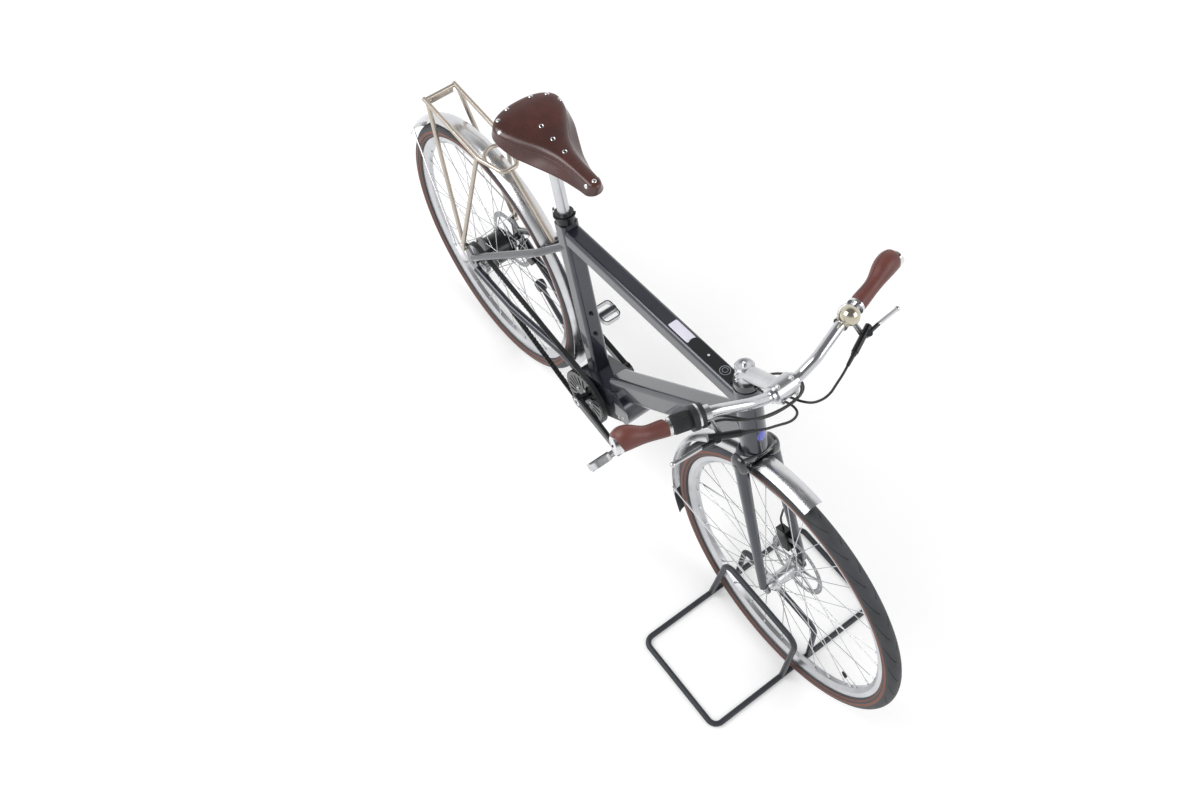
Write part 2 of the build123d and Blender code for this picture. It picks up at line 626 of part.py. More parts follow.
def down_tube():
    """Deep down tube that holds the battery."""
    start = BB + Vector(DOWN_TUBE_AHEAD, 0, DOWN_TUBE_UP)
    end = steer_point(DOWN_TUBE_FRONT_Z)
    tube = box_tube(start, end, DOWN_TUBE_W, DOWN_TUBE_H, TUBE_CORNER * 1.4)
    tube -= head_tube_envelope(SEAT_GAP)
    tube -= motor_envelope(SHELL_T + SEAT_GAP)
    return tube.solids().sort_by(SortBy.VOLUME)[-1]


def head_tube():
    """Head tube, bored for the steerer."""
    tube = rod(steer_point(HEAD_TUBE_BOTTOM), steer_point(HEAD_TUBE_TOP), HEAD_TUBE_R)
    return tube - rod(steer_point(HEAD_TUBE_BOTTOM - BORE_EXTRA), steer_point(HEAD_TUBE_TOP + BORE_EXTRA), STEM_R)


def motor_envelope(grow):
    """Two-lobed motor outline about the crank axle, grown by a wall."""
    outline = lobes(BB, MOTOR_R + grow, MOTOR_NOSE, MOTOR_NOSE_R + grow)
    return extrude(outline, MOTOR_W / 2 + grow, both=True)


def drive_unit():
    """Mid motor as one block with raised side covers and spindle bosses, bored for the crank spindle."""
    outline = lobes(BB, MOTOR_R - MOTOR_COVER_INSET, MOTOR_NOSE, MOTOR_NOSE_R - MOTOR_COVER_INSET)
    half = MOTOR_W / 2
    shell_edge = Plane(origin=(0, 0, BB.Z + SHELL_RISE - SEAT_GAP), z_dir=(0, 0, 1))
    covers = split(extrude(outline, half + MOTOR_COVER_T, both=True), bisect_by=shell_edge, keep=Keep.BOTTOM)
    block = motor_envelope(0) + covers
    block += across_disc(BB, MOTOR_BOSS_R, -half - MOTOR_BOSS_T, half + MOTOR_BOSS_T)
    return block - across_disc(BB, SPINDLE_R + SEAT_GAP, -MOTOR_W, MOTOR_W)


def motor_shell():
    """Shell over the motor's upper side that joins the seat tube and the down tube."""
    outer = motor_envelope(SHELL_T)
    shell = outer - motor_envelope(SEAT_GAP)
    edge = Plane(origin=(0, 0, BB.Z + SHELL_RISE), z_dir=(0, 0, 1))
    return split(shell, bisect_by=edge, keep=Keep.TOP)


def dropout_form(grow, y_from, y_to):
    """Dropout outline about the rear axle with its rack eyelet, grown by a clearance."""
    outline = lobes(REAR_HUB, DROPOUT_R + grow, Vector(EYELET[0], 0, EYELET[1]), EYELET_R + grow)
    plate = extrude(outline, abs(y_to - y_from) / 2, both=True)
    return Pos(0, (y_from + y_to) / 2, 0) * plate


def dropout(side):
    """Plate that carries the rear axle."""
    plate = dropout_form(0, side * DROPOUT_Y, side * (DROPOUT_Y + DROPOUT_T))
    return plate - across_disc(REAR_HUB, AXLE_R + AXLE_FIT, -200, 200)


def chainstay_points(side):
    """Route of a chainstay; the right one threads the belt loop."""
    return [Vector(DROPOUT_R - AXLE_R, side * STAY_FOOT_Y, REAR_HUB.Z - AXLE_R),
            Vector(STAY_BEND_BACK, side * STAY_BEND_Y, REAR_HUB.Z - STAY_BEND_DROP),
            Vector(BB.X - STAY_WAIST, side * STAY_WAIST_Y, BB.Z + STAY_WAIST_UP),
            Vector(BB.X - MOTOR_R, side * (STAY_WAIST_Y - 2), BB.Z + STAY_WAIST_UP - 4)]


def chainstay_form(side, grow):
    """Outside of a chainstay, grown by a clearance."""
    return bent_tube(chainstay_points(side), CHAINSTAY_R + grow, [60, 40])


def chainstays():
    """Chainstays with the dropouts at their rear ends."""
    solids = []
    for side in (1, -1):
        stay = chainstay_form(side, 0)
        stay -= across_disc(REAR_HUB, AXLE_R + 2, -200, 200)
        stay = stay + dropout(side) - motor_envelope(SHELL_T + SEAT_GAP)
        solids.append(stay.solids().sort_by(SortBy.VOLUME)[-1])
    return Compound(solids)


def stay_knee(side):
    """Knee of a seatstay, beside the top of the mudguard."""
    return REAR_HUB + wheel_point(KNEE_ANGLE, GUARD_R - KNEE_TUCK, side * KNEE_Y)


def stay_top(side):
    """Top of a seatstay's axis, inside the seat tube."""
    return Vector(seat_point(STAY_TOP_Z).X, side * STAY_TOP_Y, STAY_TOP_Z)


def bridge_point():
    """Middle of the seatstay bridge: on the stays' line, just above the mudguard."""
    knee = stay_knee(0) - REAR_HUB
    along = (stay_top(0) - stay_knee(0)).normalized()
    reach = GUARD_R + BRIDGE_GAP + BRIDGE_R
    step = -knee.dot(along) + sqrt(knee.dot(along) ** 2 - knee.dot(knee) + reach ** 2)
    return REAR_HUB + knee + along * step


def seatstays():
    """Seatstays from the dropouts to the seat tube, joined by a bridge."""
    solids = []
    for side in (1, -1):
        knee = stay_knee(side)
        heel = Vector(-HEEL_BACK, side * STAY_FOOT_Y, REAR_HUB.Z + HEEL_UP)
        foot = heel + (knee - heel).normalized() * (DROPOUT_R - RUN_GAP)
        stay = bent_tube([foot, knee, stay_top(side)], STAY_R, [KNEE_BEND]) - seat_tube_envelope(SEAT_GAP)
        stay -= dropout_form(SEAT_GAP, -2 * STAY_FOOT_Y, 2 * STAY_FOOT_Y)
        solids.append(stay.solids().sort_by(SortBy.VOLUME)[-1])
    bridge = bridge_point()
    half = Vector(0, KNEE_Y - STAY_R / 2, 0)
    return solids[0] + solids[1] + rod(bridge - half, bridge + half, BRIDGE_R)


def seat_clamp():
    """Split collar at the top of the seat tube."""
    low = seat_point(SEAT_TUBE_TOP + SEAT_GAP)
    high = seat_point(SEAT_TUBE_TOP + CLAMP_H)
    collar = rod(low, high, SEATPOST_R + CLAMP_WALL)
    return collar - rod(seat_point(SEAT_TUBE_TOP - CLAMP_H), seat_point(SEAT_TUBE_TOP + 2 * CLAMP_H),
                        SEATPOST_R + SEAT_GAP)


def seatpost():
    """Seatpost with its rail clamp."""
    top = seat_point(SEATPOST_TOP)
    return rod(seat_point(SEAT_TUBE_TOP - POST_DEPTH), top, SEATPOST_R) + Pos(*top) * Box(*CRADLE)


def saddle_rear():
    """X of the saddle's rear end."""
    return seat_point(SEATPOST_TOP).X - SADDLE_SETBACK


def saddle_frame():
    """Two rails from the cantle plate to the nose, under the leather."""
    rail_z = SEATPOST_TOP + CRADLE[2] / 2 + RAIL_R + SEAT_GAP
    rear = saddle_rear() + LEATHER_T + 4 * RAIL_R
    nose = saddle_rear() + SADDLE_LENGTH - LEATHER_T - 5.5 * RAIL_R
    cavity = saddle_form(LEATHER_T + SEAT_GAP, SADDLE_OPEN)
    frame = (Pos(rear, 0, SADDLE_TOP - 4 * RAIL_R) * Box(9, SADDLE_W, 42)) & cavity
    frame += (Pos(nose, 0, SADDLE_TOP - 4.5 * RAIL_R) * Box(14, SADDLE_W / 3, 36)) & cavity
    for side in (1, -1):
        points = [(rear, side * 42, SADDLE_TOP - 7 * RAIL_R), (rear + 11 * RAIL_R, side * (RAIL_Y + 2), rail_z),
                  (nose - 20 * RAIL_R, side * RAIL_Y, rail_z), (nose, side * 5, SADDLE_TOP - 7.2 * RAIL_R)]
        frame += bent_tube(points, RAIL_R, [22, 30])
    return frame


def saddle_form(inset, drop):
    """Lofted saddle form from the wide rear to the nose, inset by a wall and dropped below."""
    # share of the length, share of the width, height and depth as shares of the saddle's rise
    stations = ((0.0, 0.62, -0.035, 0.526), (0.07, 0.9, 0.0, 0.772), (0.24, 1.0, 0.0, 0.807),
                (0.5, 0.62, -0.105, 0.702), (0.75, 0.30, -0.105, 0.702), (0.97, 0.19, -0.035, 0.596),
                (1.0, 0.12, -0.105, 0.421))
    sections = []
    for share, width_share, top, depth_share in stations:
        half = SADDLE_W * width_share / 2 - inset
        depth = depth_share * SADDLE_RISE
        x = saddle_rear() + inset + share * (SADDLE_LENGTH - 2 * inset)
        plane = Plane(origin=(x, 0, SADDLE_TOP + top * SADDLE_RISE - inset), x_dir=(0, 1, 0), z_dir=(1, 0, 0))
        brow = -depth * 0.35
        skirt = -depth * 0.8 - drop
        outline = [ThreePointArc((-half, brow), (0, 0), (half, brow)), Line((half, brow), (half * 0.94, skirt)),
                   Line((half * 0.94, skirt), (-half * 0.94, skirt)), Line((-half * 0.94, skirt), (-half, brow))]
        sections.append(plane * make_face(outline))
    return loft(sections, ruled=True)


def saddle_leather():
    """Leather top: a shell that is open below."""
    return saddle_form(0, 0) - saddle_form(LEATHER_T, SADDLE_OPEN)


# ---------------------------------------------------------------- mudguards and rack
def guard_section(radius, thickness):
    """Bowed strip in the plane of the wheel's radius and axle."""
    edge = radius - GUARD_DROP
    low = edge - thickness
    outer = ThreePointArc((edge, -GUARD_HALF_W), (radius, 0), (edge, GUARD_HALF_W))
    inner = ThreePointArc((low, GUARD_HALF_W), (radius - thickness, 0), (low, -GUARD_HALF_W))
    return make_face([outer, Line((edge, GUARD_HALF_W), (low, GUARD_HALF_W)), inner,
                      Line((low, -GUARD_HALF_W), (edge, -GUARD_HALF_W))])


def mudguard(start, end, radius=GUARD_R, thickness=GUARD_T):
    """Mudguard blade about a wheel, between two angles above the forward line."""
    section = guard_section(radius, thickness).rotate(ACROSS, start)
    return revolve(section, ACROSS, revolution_arc=end - start)


def mudguard_flap():
    """Rubber flap that hangs from the outside of the front mudguard's end."""
    radius = GUARD_R + FLAP_T + SEAT_GAP
    return Pos(*FRONT_HUB) * mudguard(FRONT_GUARD_END - FLAP_LAP, FLAP_END, radius, FLAP_T)


def rear_mudguard():
    """Rear mudguard, notched where it passes between the chainstays."""
    blade = Pos(*REAR_HUB) * mudguard(REAR_GUARD_START, REAR_GUARD_END)
    for side in (1, -1):
        blade -= chainstay_form(side, 1)
    return blade.solids().sort_by(SortBy.VOLUME)[-1]


def crown_form(grow):
    """Outside of the fork crown, shouldered from the head tube out to the blades, grown by a clearance."""
    low = steer_point(CROWN_BOTTOM) - STEER_DIR * grow
    high = steer_point(HEAD_TUBE_BOTTOM - 1) + STEER_DIR * grow
    middle = low + (high - low) * 0.5
    sections = []
    for origin, width, depth in ((low, CROWN_W, CROWN_D), (middle, 0.9 * CROWN_W, CROWN_D),
                                 (high, CROWN_TOP_W, CROWN_TOP_D)):
        plane = Plane(origin=origin, x_dir=(0, 1, 0), z_dir=STEER_DIR)
        sections.append(plane * RectangleRounded(width + 2 * grow, depth + 2 * grow, CROWN_CORNER))
    return loft(sections, ruled=True)


def front_mudguard():
    """Front mudguard with the spacer that bolts it under the crown."""
    blade = Pos(*FRONT_HUB) * mudguard(FRONT_GUARD_START, FRONT_GUARD_END)
    foot = FRONT_HUB + wheel_point(CROWN_SPACER_ANGLE, GUARD_R - GUARD_T / 2, 0)
    head = FRONT_HUB + wheel_point(CROWN_SPACER_ANGLE, GUARD_R + CROWN_SPACER_L, 0)
    return blade + (rod(foot, head, CROWN_SPACER_R) - crown_form(SEAT_GAP)).solids().sort_by(Axis.Z)[0]


def wheel_point(angle, radius, y):
    """Point at an angle and radius about a wheel's axle."""
    return Vector(radius * cos(radians(angle)), y, radius * sin(radians(angle)))


def guard_stay(angle, foot, foot_y):
    """Wire from the mudguard's edge to an eyelet, on both sides."""
    solids = []
    for side in (1, -1):
        top = wheel_point(angle, GUARD_R - GUARD_DROP - 2, side * (GUARD_HALF_W + STAY_WIRE_R + SEAT_GAP))
        solids.append(rod(top, Vector(foot[0], side * foot_y, foot[1]), STAY_WIRE_R))
    return Compound(solids)


def rack_top():
    """Rack loop with its rear bar and the drilled plate for a lamp."""
    rails = rack_rails(0)
    ends = [(RACK_RING_X, side * rack_half_width(RACK_RING_X), RACK_Z) for side in (1, -1)]
    hoop = ThreePointArc(ends[0], (RACK_RING_APEX_X, 0, RACK_Z), ends[1])
    rails += sweep(Plane(origin=hoop @ 0, z_dir=hoop % 0) * Circle(RACK_R - 0.5), path=hoop)
    bar_x = RACK_REAR_X + RACK_R
    rails += rod((bar_x, RACK_HALF_W, RACK_Z), (bar_x, -RACK_HALF_W, RACK_Z), RACK_R - 0.5)
    plate_z = RACK_Z - RACK_R - LIGHT_PLATE_H / 2 + 3
    plate = Pos(RACK_REAR_X, 0, plate_z) * Box(RACK_PLATE_T, 2 * RACK_HALF_W - 8, LIGHT_PLATE_H)
    for side in (1, -1):
        hole_start = Vector(RACK_REAR_X - 20, side * LIGHT_HOLE_SPACING / 2, plate_z - 2)
        plate -= rod(hole_start, hole_start + Vector(40, 0, 0), LIGHT_HOLE_R)
    return rails + plate


def rack_half_width(x):
    """Half the width over the rails' axes where they close in towards the front."""
    share = (x - RACK_FRONT_X + RACK_TAPER) / RACK_TAPER
    return RACK_HALF_W - share * (RACK_HALF_W - RACK_FRONT_HALF_W)


def rack_rails(grow):
    """Rack loop: rails closed in a U at the front, with a bar across the rear."""
    taper_x = RACK_FRONT_X - RACK_TAPER
    points = [(RACK_REAR_X, RACK_HALF_W, RACK_Z), (taper_x, RACK_HALF_W, RACK_Z),
              (RACK_FRONT_X, RACK_FRONT_HALF_W, RACK_Z), (RACK_FRONT_X, -RACK_FRONT_HALF_W, RACK_Z),
              (taper_x, -RACK_HALF_W, RACK_Z), (RACK_REAR_X, -RACK_HALF_W, RACK_Z)]
    corner = 0.9 * RACK_FRONT_HALF_W
    return bent_tube(points, RACK_R + grow, [RACK_HALF_W, corner, corner, RACK_HALF_W])


def rack_leg(side, lug_y, top):
    """Leg with a flattened lug on the dropout's eyelet, cut to seat under the rail."""
    foot = Vector(EYELET[0], side * lug_y, EYELET[1])
    rise = Vector(top[0] - foot.X, 0, top[2] - foot.Z).normalized()
    lug = across_disc(foot, LEG_LUG_R, side * (lug_y - LEG_LUG_T / 2), side * (lug_y + LEG_LUG_T / 2))
    lug += box_tube(foot, foot + rise * LEG_LUG_L, LEG_LUG_T, 1.2 * LEG_LUG_R, 2)
    leg = lug + rod(foot + rise * 0.9 * LEG_LUG_L, top, RACK_R)
    return (leg - rack_rails(SEAT_GAP)).solids().sort_by(SortBy.VOLUME)[-1]


def rack_legs():
    """Four legs up from the dropouts' eyelets and one stay forward to the seatstay bridge."""
    solids = []
    inner_y = DROPOUT_Y + DROPOUT_T + SEAT_GAP + LEG_LUG_T / 2
    for side in (1, -1):
        solids.append(rack_leg(side, inner_y, (RACK_REAR_X + LEG_REAR, side * RACK_HALF_W, RACK_Z)))
        solids.append(rack_leg(side, inner_y + LEG_LUG_T + SEAT_GAP, (LEG_FRONT_X, side * RACK_HALF_W, RACK_Z)))
    bridge = bridge_point()
    stay = rod((RACK_FRONT_X, 0, RACK_Z), bridge, RACK_R) - rack_rails(SEAT_GAP)
    stay -= rod(bridge - Vector(0, 40, 0), bridge + Vector(0, 40, 0), BRIDGE_R + SEAT_GAP)
    solids.append(stay.solids().sort_by(SortBy.VOLUME)[-1])
    return Compound(solids)


# ---------------------------------------------------------------- cranks and pedals
def crank_end(side):
    """Centre of a pedal's axle hole: the right arm points forward, the left one back."""
    turn = radians(CRANK_ANGLE)
    reach = -side * CRANK_LENGTH
    return Vector(BB.X + reach * cos(turn), 0, BB.Z + reach * sin(turn))


def crank_arm(side):
    """Tapered arm from the spindle to the pedal axle."""
    inner = side * CRANK_INNER_Y
    end = crank_end(side)
    boss = across_disc(BB, CRANK_BOSS_R, inner, inner + side * CRANK_T)
    eye_y = side * (CRANK_INNER_Y + CRANK_FLARE)
    eye = across_disc(end, CRANK_EYE_R, eye_y, eye_y + side * CRANK_T)
    direction = (end - BB).normalized()
    low = Plane(origin=BB + Vector(0, inner + side * CRANK_T / 2, 0), x_dir=(0, 1, 0), z_dir=direction)
    high = Plane(origin=end + Vector(0, eye_y + side * CRANK_T / 2, 0), x_dir=(0, 1, 0), z_dir=direction)
    arm = loft([low * RectangleRounded(CRANK_T, CRANK_BOSS_R * 1.8, 4),
                high * RectangleRounded(CRANK_T - 2, CRANK_EYE_R * 1.5, 4)])
    return boss + eye + arm - across_disc(end, PEDAL_AXLE_R + 0.05, -300, 300)


def spindle():
    """Spindle through the motor, between the crank arms."""
    return across_disc(BB, SPINDLE_R, -CRANK_INNER_Y, CRANK_INNER_Y)


def pedal(side):
    """Pedal: axle with its neck, a round body and a wire cage with rounded corners."""
    end = crank_end(side)
    start_y = CRANK_INNER_Y + CRANK_FLARE + 1
    neck_y = start_y + CRANK_T + SEAT_GAP
    cage_y = neck_y + PEDAL_NECK
    axle = across_disc(Vector(), PEDAL_AXLE_R, start_y, cage_y + PEDAL_W / 2)
    axle += across_disc(Vector(), PEDAL_NECK_R, neck_y, cage_y)
    body = across_disc(Vector(), PEDAL_BODY_R, cage_y - PEDAL_CAGE_T, cage_y + PEDAL_W)
    plane = Plane(origin=(0, cage_y + PEDAL_W / 2, 0), x_dir=(1, 0, 0), z_dir=(0, 0, 1))
    wall = PEDAL_CAGE_T
    ring = RectangleRounded(PEDAL_L, PEDAL_W, PEDAL_CORNER_R)
    ring -= RectangleRounded(PEDAL_L - 2 * wall, PEDAL_W - 2 * wall, PEDAL_CORNER_R - wall)
    whole = axle + body + extrude(plane * ring, PEDAL_H / 2, both=True)
    whole = whole.rotate(Axis.Y, PEDAL_TILT_LEFT if side > 0 else PEDAL_TILT_RIGHT)
    if side < 0:
        whole = mirrored(whole)
    return Pos(end.X, 0, end.Z) * whole


# ---------------------------------------------------------------- fork and bars
def fork_crown():
    """Crown with its steerer."""
    top = steer_point(HEAD_TUBE_TOP + HEADSET_H + STEM_CLAMP_H - 4)
    return crown_form(0) + rod(steer_point(CROWN_BOTTOM + 4), top, STEM_R - RUN_GAP)


def blade_form(side, grow):
    """Outside of a fork blade, grown by a clearance."""
    start = steer_point(CROWN_BOTTOM) + STEER_DIR * 10 + Vector(0, side * FORK_BLADE_Y_TOP, 0)
    end = FRONT_HUB + Vector(-3, side * FORK_BLADE_Y_TIP, 6)
    return cone_rod(start, end, FORK_BLADE_TOP_R + grow, FORK_BLADE_TIP_R + grow)


def fork_blades():
    """Two tapered blades with their dropouts, seated under the crown."""
    solids = []
    seat = steer_point(CROWN_BOTTOM) - STEER_DIR * SEAT_GAP
    for side in (1, -1):
        blade = split(blade_form(side, 0), bisect_by=Plane(origin=seat, z_dir=-STEER_DIR), keep=Keep.TOP)
        inner = FRONT_HUB_W / 2 + SEAT_GAP
        blade -= Pos(*FRONT_HUB) * Box(4 * FORK_BLADE_TOP_R, 2 * inner, 5 * FORK_BLADE_TOP_R)
        blade += across_disc(FRONT_HUB, FORK_BLADE_TOP_R, side * inner, side * (inner + DROPOUT_T))
        solids.append(blade - across_disc(FRONT_HUB, AXLE_R + AXLE_FIT, -200, 200))
    return Compound(solids)


def steerer_bore():
    """Clearance hole for the steerer above the head tube, closed at the top of the stem."""
    return rod(steer_point(HEAD_TUBE_TOP - 1), steer_point(HEAD_TUBE_TOP + HEADSET_H + STEM_CLAMP_H - 3),
               STEM_R - RUN_GAP + SEAT_GAP)


def stem():
    """Stem: steerer clamp, rising arm and bar clamp."""
    foot_z = HEAD_TUBE_TOP + HEADSET_H
    clamp = bar_half(1)[0]
    body = rod(steer_point(foot_z), steer_point(foot_z + STEM_CLAMP_H), STEM_R)
    body += cone_rod(steer_point(foot_z + STEM_CLAMP_H / 2), clamp, STEM_ARM_R + 2, STEM_ARM_R)
    body += across_disc(clamp, BAR_CLAMP_R + STEM_CHEEK_T, -STEM_CHEEK, STEM_CHEEK)
    body -= across_disc(clamp, BAR_CLAMP_R + SEAT_GAP, -BAR_CLAMP_W, BAR_CLAMP_W)
    return body - steerer_bore()


def route_points(route):
    """Points of a cord's route, which is given from the top of the head tube."""
    top = steer_point(HEAD_TUBE_TOP)
    return [Vector(top.X + x, y, top.Z + z) for x, y, z in route]


def cord_port(route):
    """Port that a cord's last point stands at, run in along the cord's last direction."""
    before, mouth = route_points(route)[-2:]
    inward = (mouth - before).normalized()
    return rod(mouth + inward * SEAT_GAP, mouth + inward * PORT_L, PORT_R)


def headset():
    """Headset cover between the head tube and the stem, with the ports for the hoses and cables."""
    low = steer_point(HEAD_TUBE_TOP + SEAT_GAP)
    high = steer_point(HEAD_TUBE_TOP + HEADSET_H - SEAT_GAP)
    cover = rod(low, high, HEAD_TUBE_R - HEADSET_INSET)
    for route in (HOSE_RIGHT, HOSE_LEFT, GEAR_CABLE_A, GEAR_CABLE_B):
        cover += cord_port(route)
    return cover - steerer_bore()


def bar_half(side):
    """Points of one half of the handlebar."""
    top = steer_point(HEAD_TUBE_TOP)
    return [Vector(top.X + x, side * y, HEAD_TUBE_TOP + z) for x, y, z in BAR_POINTS]


def handlebar():
    """Swept-back handlebar with a thicker middle."""
    right = bar_half(-1)[:0:-1]
    left = bar_half(1)[1:]
    bar = bent_tube(right + left, BAR_R, [70, 90, 60, 60, 90, 70])
    middle = across_disc(bar_half(1)[0], BAR_CLAMP_R, -BAR_CLAMP_W / 2, BAR_CLAMP_W / 2)
    return bar + middle


def bar_end_frame(side):
    """End of the bar and the direction from its end back to its bend."""
    points = bar_half(side)
    return points[-1], (points[-2] - points[-1]).normalized()


def sleeve(side, start, length, radius):
    """Ring about the straight end of the bar, at a distance from its end."""
    end, inward = bar_end_frame(side)
    low = end + inward * start
    high = end + inward * (start + length)
    return rod(low, high, radius) - rod(low - inward * radius, high + inward * radius, BAR_R + SEAT_GAP)


def grips():
    """Leather grips."""
    return Compound([sleeve(1, GRIP_RING_W + SEAT_GAP, GRIP_LENGTH_LEFT, GRIP_R),
                     sleeve(-1, GRIP_RING_W + SEAT_GAP, GRIP_LENGTH_RIGHT, GRIP_R)])


def grip_rings():
    """Clamp rings at both ends of each grip."""
    solids = []
    for side, length in ((1, GRIP_LENGTH_LEFT), (-1, GRIP_LENGTH_RIGHT)):
        solids.append(sleeve(side, 0, GRIP_RING_W, GRIP_RING_R))
        solids.append(sleeve(side, GRIP_RING_W + length + 2 * SEAT_GAP, GRIP_RING_W, GRIP_RING_R))
    return Compound(solids)


def lever_frame():
    """Directions ahead of the bar and up from it, as the levers are turned on it."""
    return Vector(0.9326, 0, -0.3610), Vector(0.3610, 0, 0.9326)


def twist_shifter():
    """Twist shifter: barrel, its housing and the two cable ports beside the bar."""
    start = 2 * GRIP_RING_W + GRIP_LENGTH_RIGHT + 3 * SEAT_GAP
    barrel = sleeve(-1, start, SHIFTER_BARREL_L, SHIFTER_BARREL_R)
    shifter = barrel + sleeve(-1, start + SHIFTER_BARREL_L - 1, SHIFTER_HOUSING_L, SHIFTER_HOUSING_R)
    end, inward = bar_end_frame(-1)
    ahead, up = lever_frame()
    face = end + inward * (start + SHIFTER_BARREL_L - 1 + SHIFTER_HOUSING_L)
    for forward, above in SHIFTER_PORTS:
        port = face + ahead * forward + up * above
        shifter += rod(port - inward * 8, port + inward * SHIFTER_PORT_L, SHIFTER_PORT_R)
    return shifter


def lever_start(side):
    """Distance of a brake lever's clamp from the end of the bar."""
    if side > 0:
        return LEVER_PLACE_LEFT
    return 2 * GRIP_RING_W + GRIP_LENGTH_RIGHT + SHIFTER_BARREL_L + SHIFTER_HOUSING_L + 5 * SEAT_GAP


def brake_lever(side):
    """Hydraulic brake lever: clamp band, slim master cylinder with its nut and boot, and the blade."""
    start = lever_start(side)
    end, inward = bar_end_frame(side)
    ahead, up = lever_frame()
    at = end + inward * (start + LEVER_CLAMP_W / 2)
    lever = rod(at, at + ahead * LEVER_AHEAD, LEVER_ARM_R)
    lever -= rod(end, end + inward * (start + 2 * LEVER_AHEAD), BAR_R + 0.4 * LEVER_BAND_T)
    lever += sleeve(side, start, LEVER_CLAMP_W, BAR_R + LEVER_BAND_T)
    along = (inward + ahead * 0.2).normalized()
    body = at + ahead * LEVER_AHEAD - inward * LEVER_BACK
    nut = body + along * LEVER_BODY_L
    boot = nut + along * LEVER_NUT_L
    lever += rod(body, nut + along, LEVER_BODY_R) + rod(nut, boot + along, LEVER_NUT_R)
    lever += cone_rod(boot, boot + along * LEVER_BOOT_L, LEVER_BOOT_R, CORD_R + 1)
    pivot = at + ahead * (LEVER_AHEAD + LEVER_PIVOT[0]) - inward * LEVER_PIVOT[1]
    lever += rod(pivot - up * LEVER_BODY_R, pivot + up * LEVER_BODY_R, LEVER_BODY_R)
    elbow = pivot - inward * LEVER_ELBOW[0] + ahead * LEVER_ELBOW[1]
    tip = pivot - inward * LEVER_TIP[0] + ahead * LEVER_TIP[1] - Vector(0, 0, LEVER_TIP[2])
    return lever + bent_tube([pivot, elbow, tip], LEVER_R, LEVER_BEND) + Pos(*tip) * Sphere(1.3 * LEVER_R)


def bell():
    """Round bell on a small clamp, inboard of the left brake lever."""
    end, inward = bar_end_frame(1)
    at = end + inward * (BELL_PLACE + BELL_CLAMP_W / 2)
    up = Vector(0.27, 0, 0.963)
    neck = rod(at, at + up * BELL_NECK, BELL_CLAMP_W / 2) - rod(end, at + inward * BELL_PLACE, BAR_R + 1)
    dome = Pos(*(at + up * (BELL_NECK - 1.5 + BELL_R))) * Sphere(BELL_R)
    return sleeve(1, BELL_PLACE, BELL_CLAMP_W, BAR_R + 4) + neck + dome


def cord(route):
    """Tube of a hose or cable: straight runs joined by arcs as large as the runs allow."""
    points = route_points(route)
    radii = []
    for before, at, after in zip(points, points[1:], points[2:]):
        turn = radians((at - before).get_angle(after - at))
        radii.append(0.45 * min((at - before).length, (after - at).length) / tan(turn / 2))
    tube = bent_tube(points, CORD_R, radii)
    path_length = tube.volume / (pi * CORD_R ** 2)
    print("cord radii", [round(radius) for radius in radii], "length", round(path_length, 1))
    return tube


def caliper(carrier_angle, hub_centre, y, post_y, carrier):
    """Brake caliper astride its rotor, on two posts, with its hose led into the fork blade or the stay."""
    middle_y = y + (CALIPER_OUTER_W - CALIPER_INNER_W) / 2
    block = Box(CALIPER_L, CALIPER_INNER_W + CALIPER_OUTER_W, CALIPER_D)
    block = Pos(CALIPER_ALONG, middle_y, CALIPER_BACK) * block
    slot_half = ROTOR_T / 2 + CALIPER_GAP
    block -= across_disc(Vector(), ROTOR_R + 3, y - slot_half, y + slot_half)
    for along in (CALIPER_ALONG - POST_SPACING / 2, CALIPER_ALONG + POST_SPACING / 2):
        head = (along, y + CALIPER_OUTER_W - POST_R, CALIPER_BACK - 4)
        block += rod((along, post_y, 0), head, POST_R)
    run = CALIPER_ALONG + CALIPER_L / 2
    tail = [(run - POST_R, middle_y, CALIPER_BACK), (run + 0.3 * TAIL_L, middle_y, CALIPER_BACK + TAIL_BOW),
            (run + 0.7 * TAIL_L, (middle_y + post_y) / 2, 0.6 * CALIPER_BACK), (run + TAIL_L, post_y, 0)]
    block += bent_tube([Vector(point) for point in tail], CORD_R, TAIL_BEND)
    block = Pos(hub_centre.X, 0, hub_centre.Z) * Rot(0, -carrier_angle, 0) * block
    return block - carrier


# ---------------------------------------------------------------- kickstand
def kickstand():
    """Kickstand folded along the left chainstay: knuckle, tapered leg and flat foot."""
    pivot, along, axis = KICKSTAND_PIVOT, Vector(KICKSTAND_FOLDED), Vector(KICKSTAND_AXIS)
    half = axis * (KICKSTAND_HUB_T / 2)
    foot = pivot + along * KICKSTAND_L
    leg = cone_rod(pivot, foot, KICKSTAND_R, KICKSTAND_TIP_R) + rod(pivot - half, pivot + half, KICKSTAND_HUB_R)
    length, width, depth = KICKSTAND_FOOT
    plane = Plane(origin=foot, x_dir=along, z_dir=along.cross(axis))
    leg += extrude(plane * RectangleRounded(length, width, 0.4 * width), depth / 2, both=True)
    for face in (half, -half):
        leg -= rod(pivot + face, pivot + 3 * face, KICKSTAND_HUB_R + SEAT_GAP + 2)
    return leg - rod(pivot - 2 * half, pivot + 2 * half, KICKSTAND_PIN_R + AXLE_FIT)


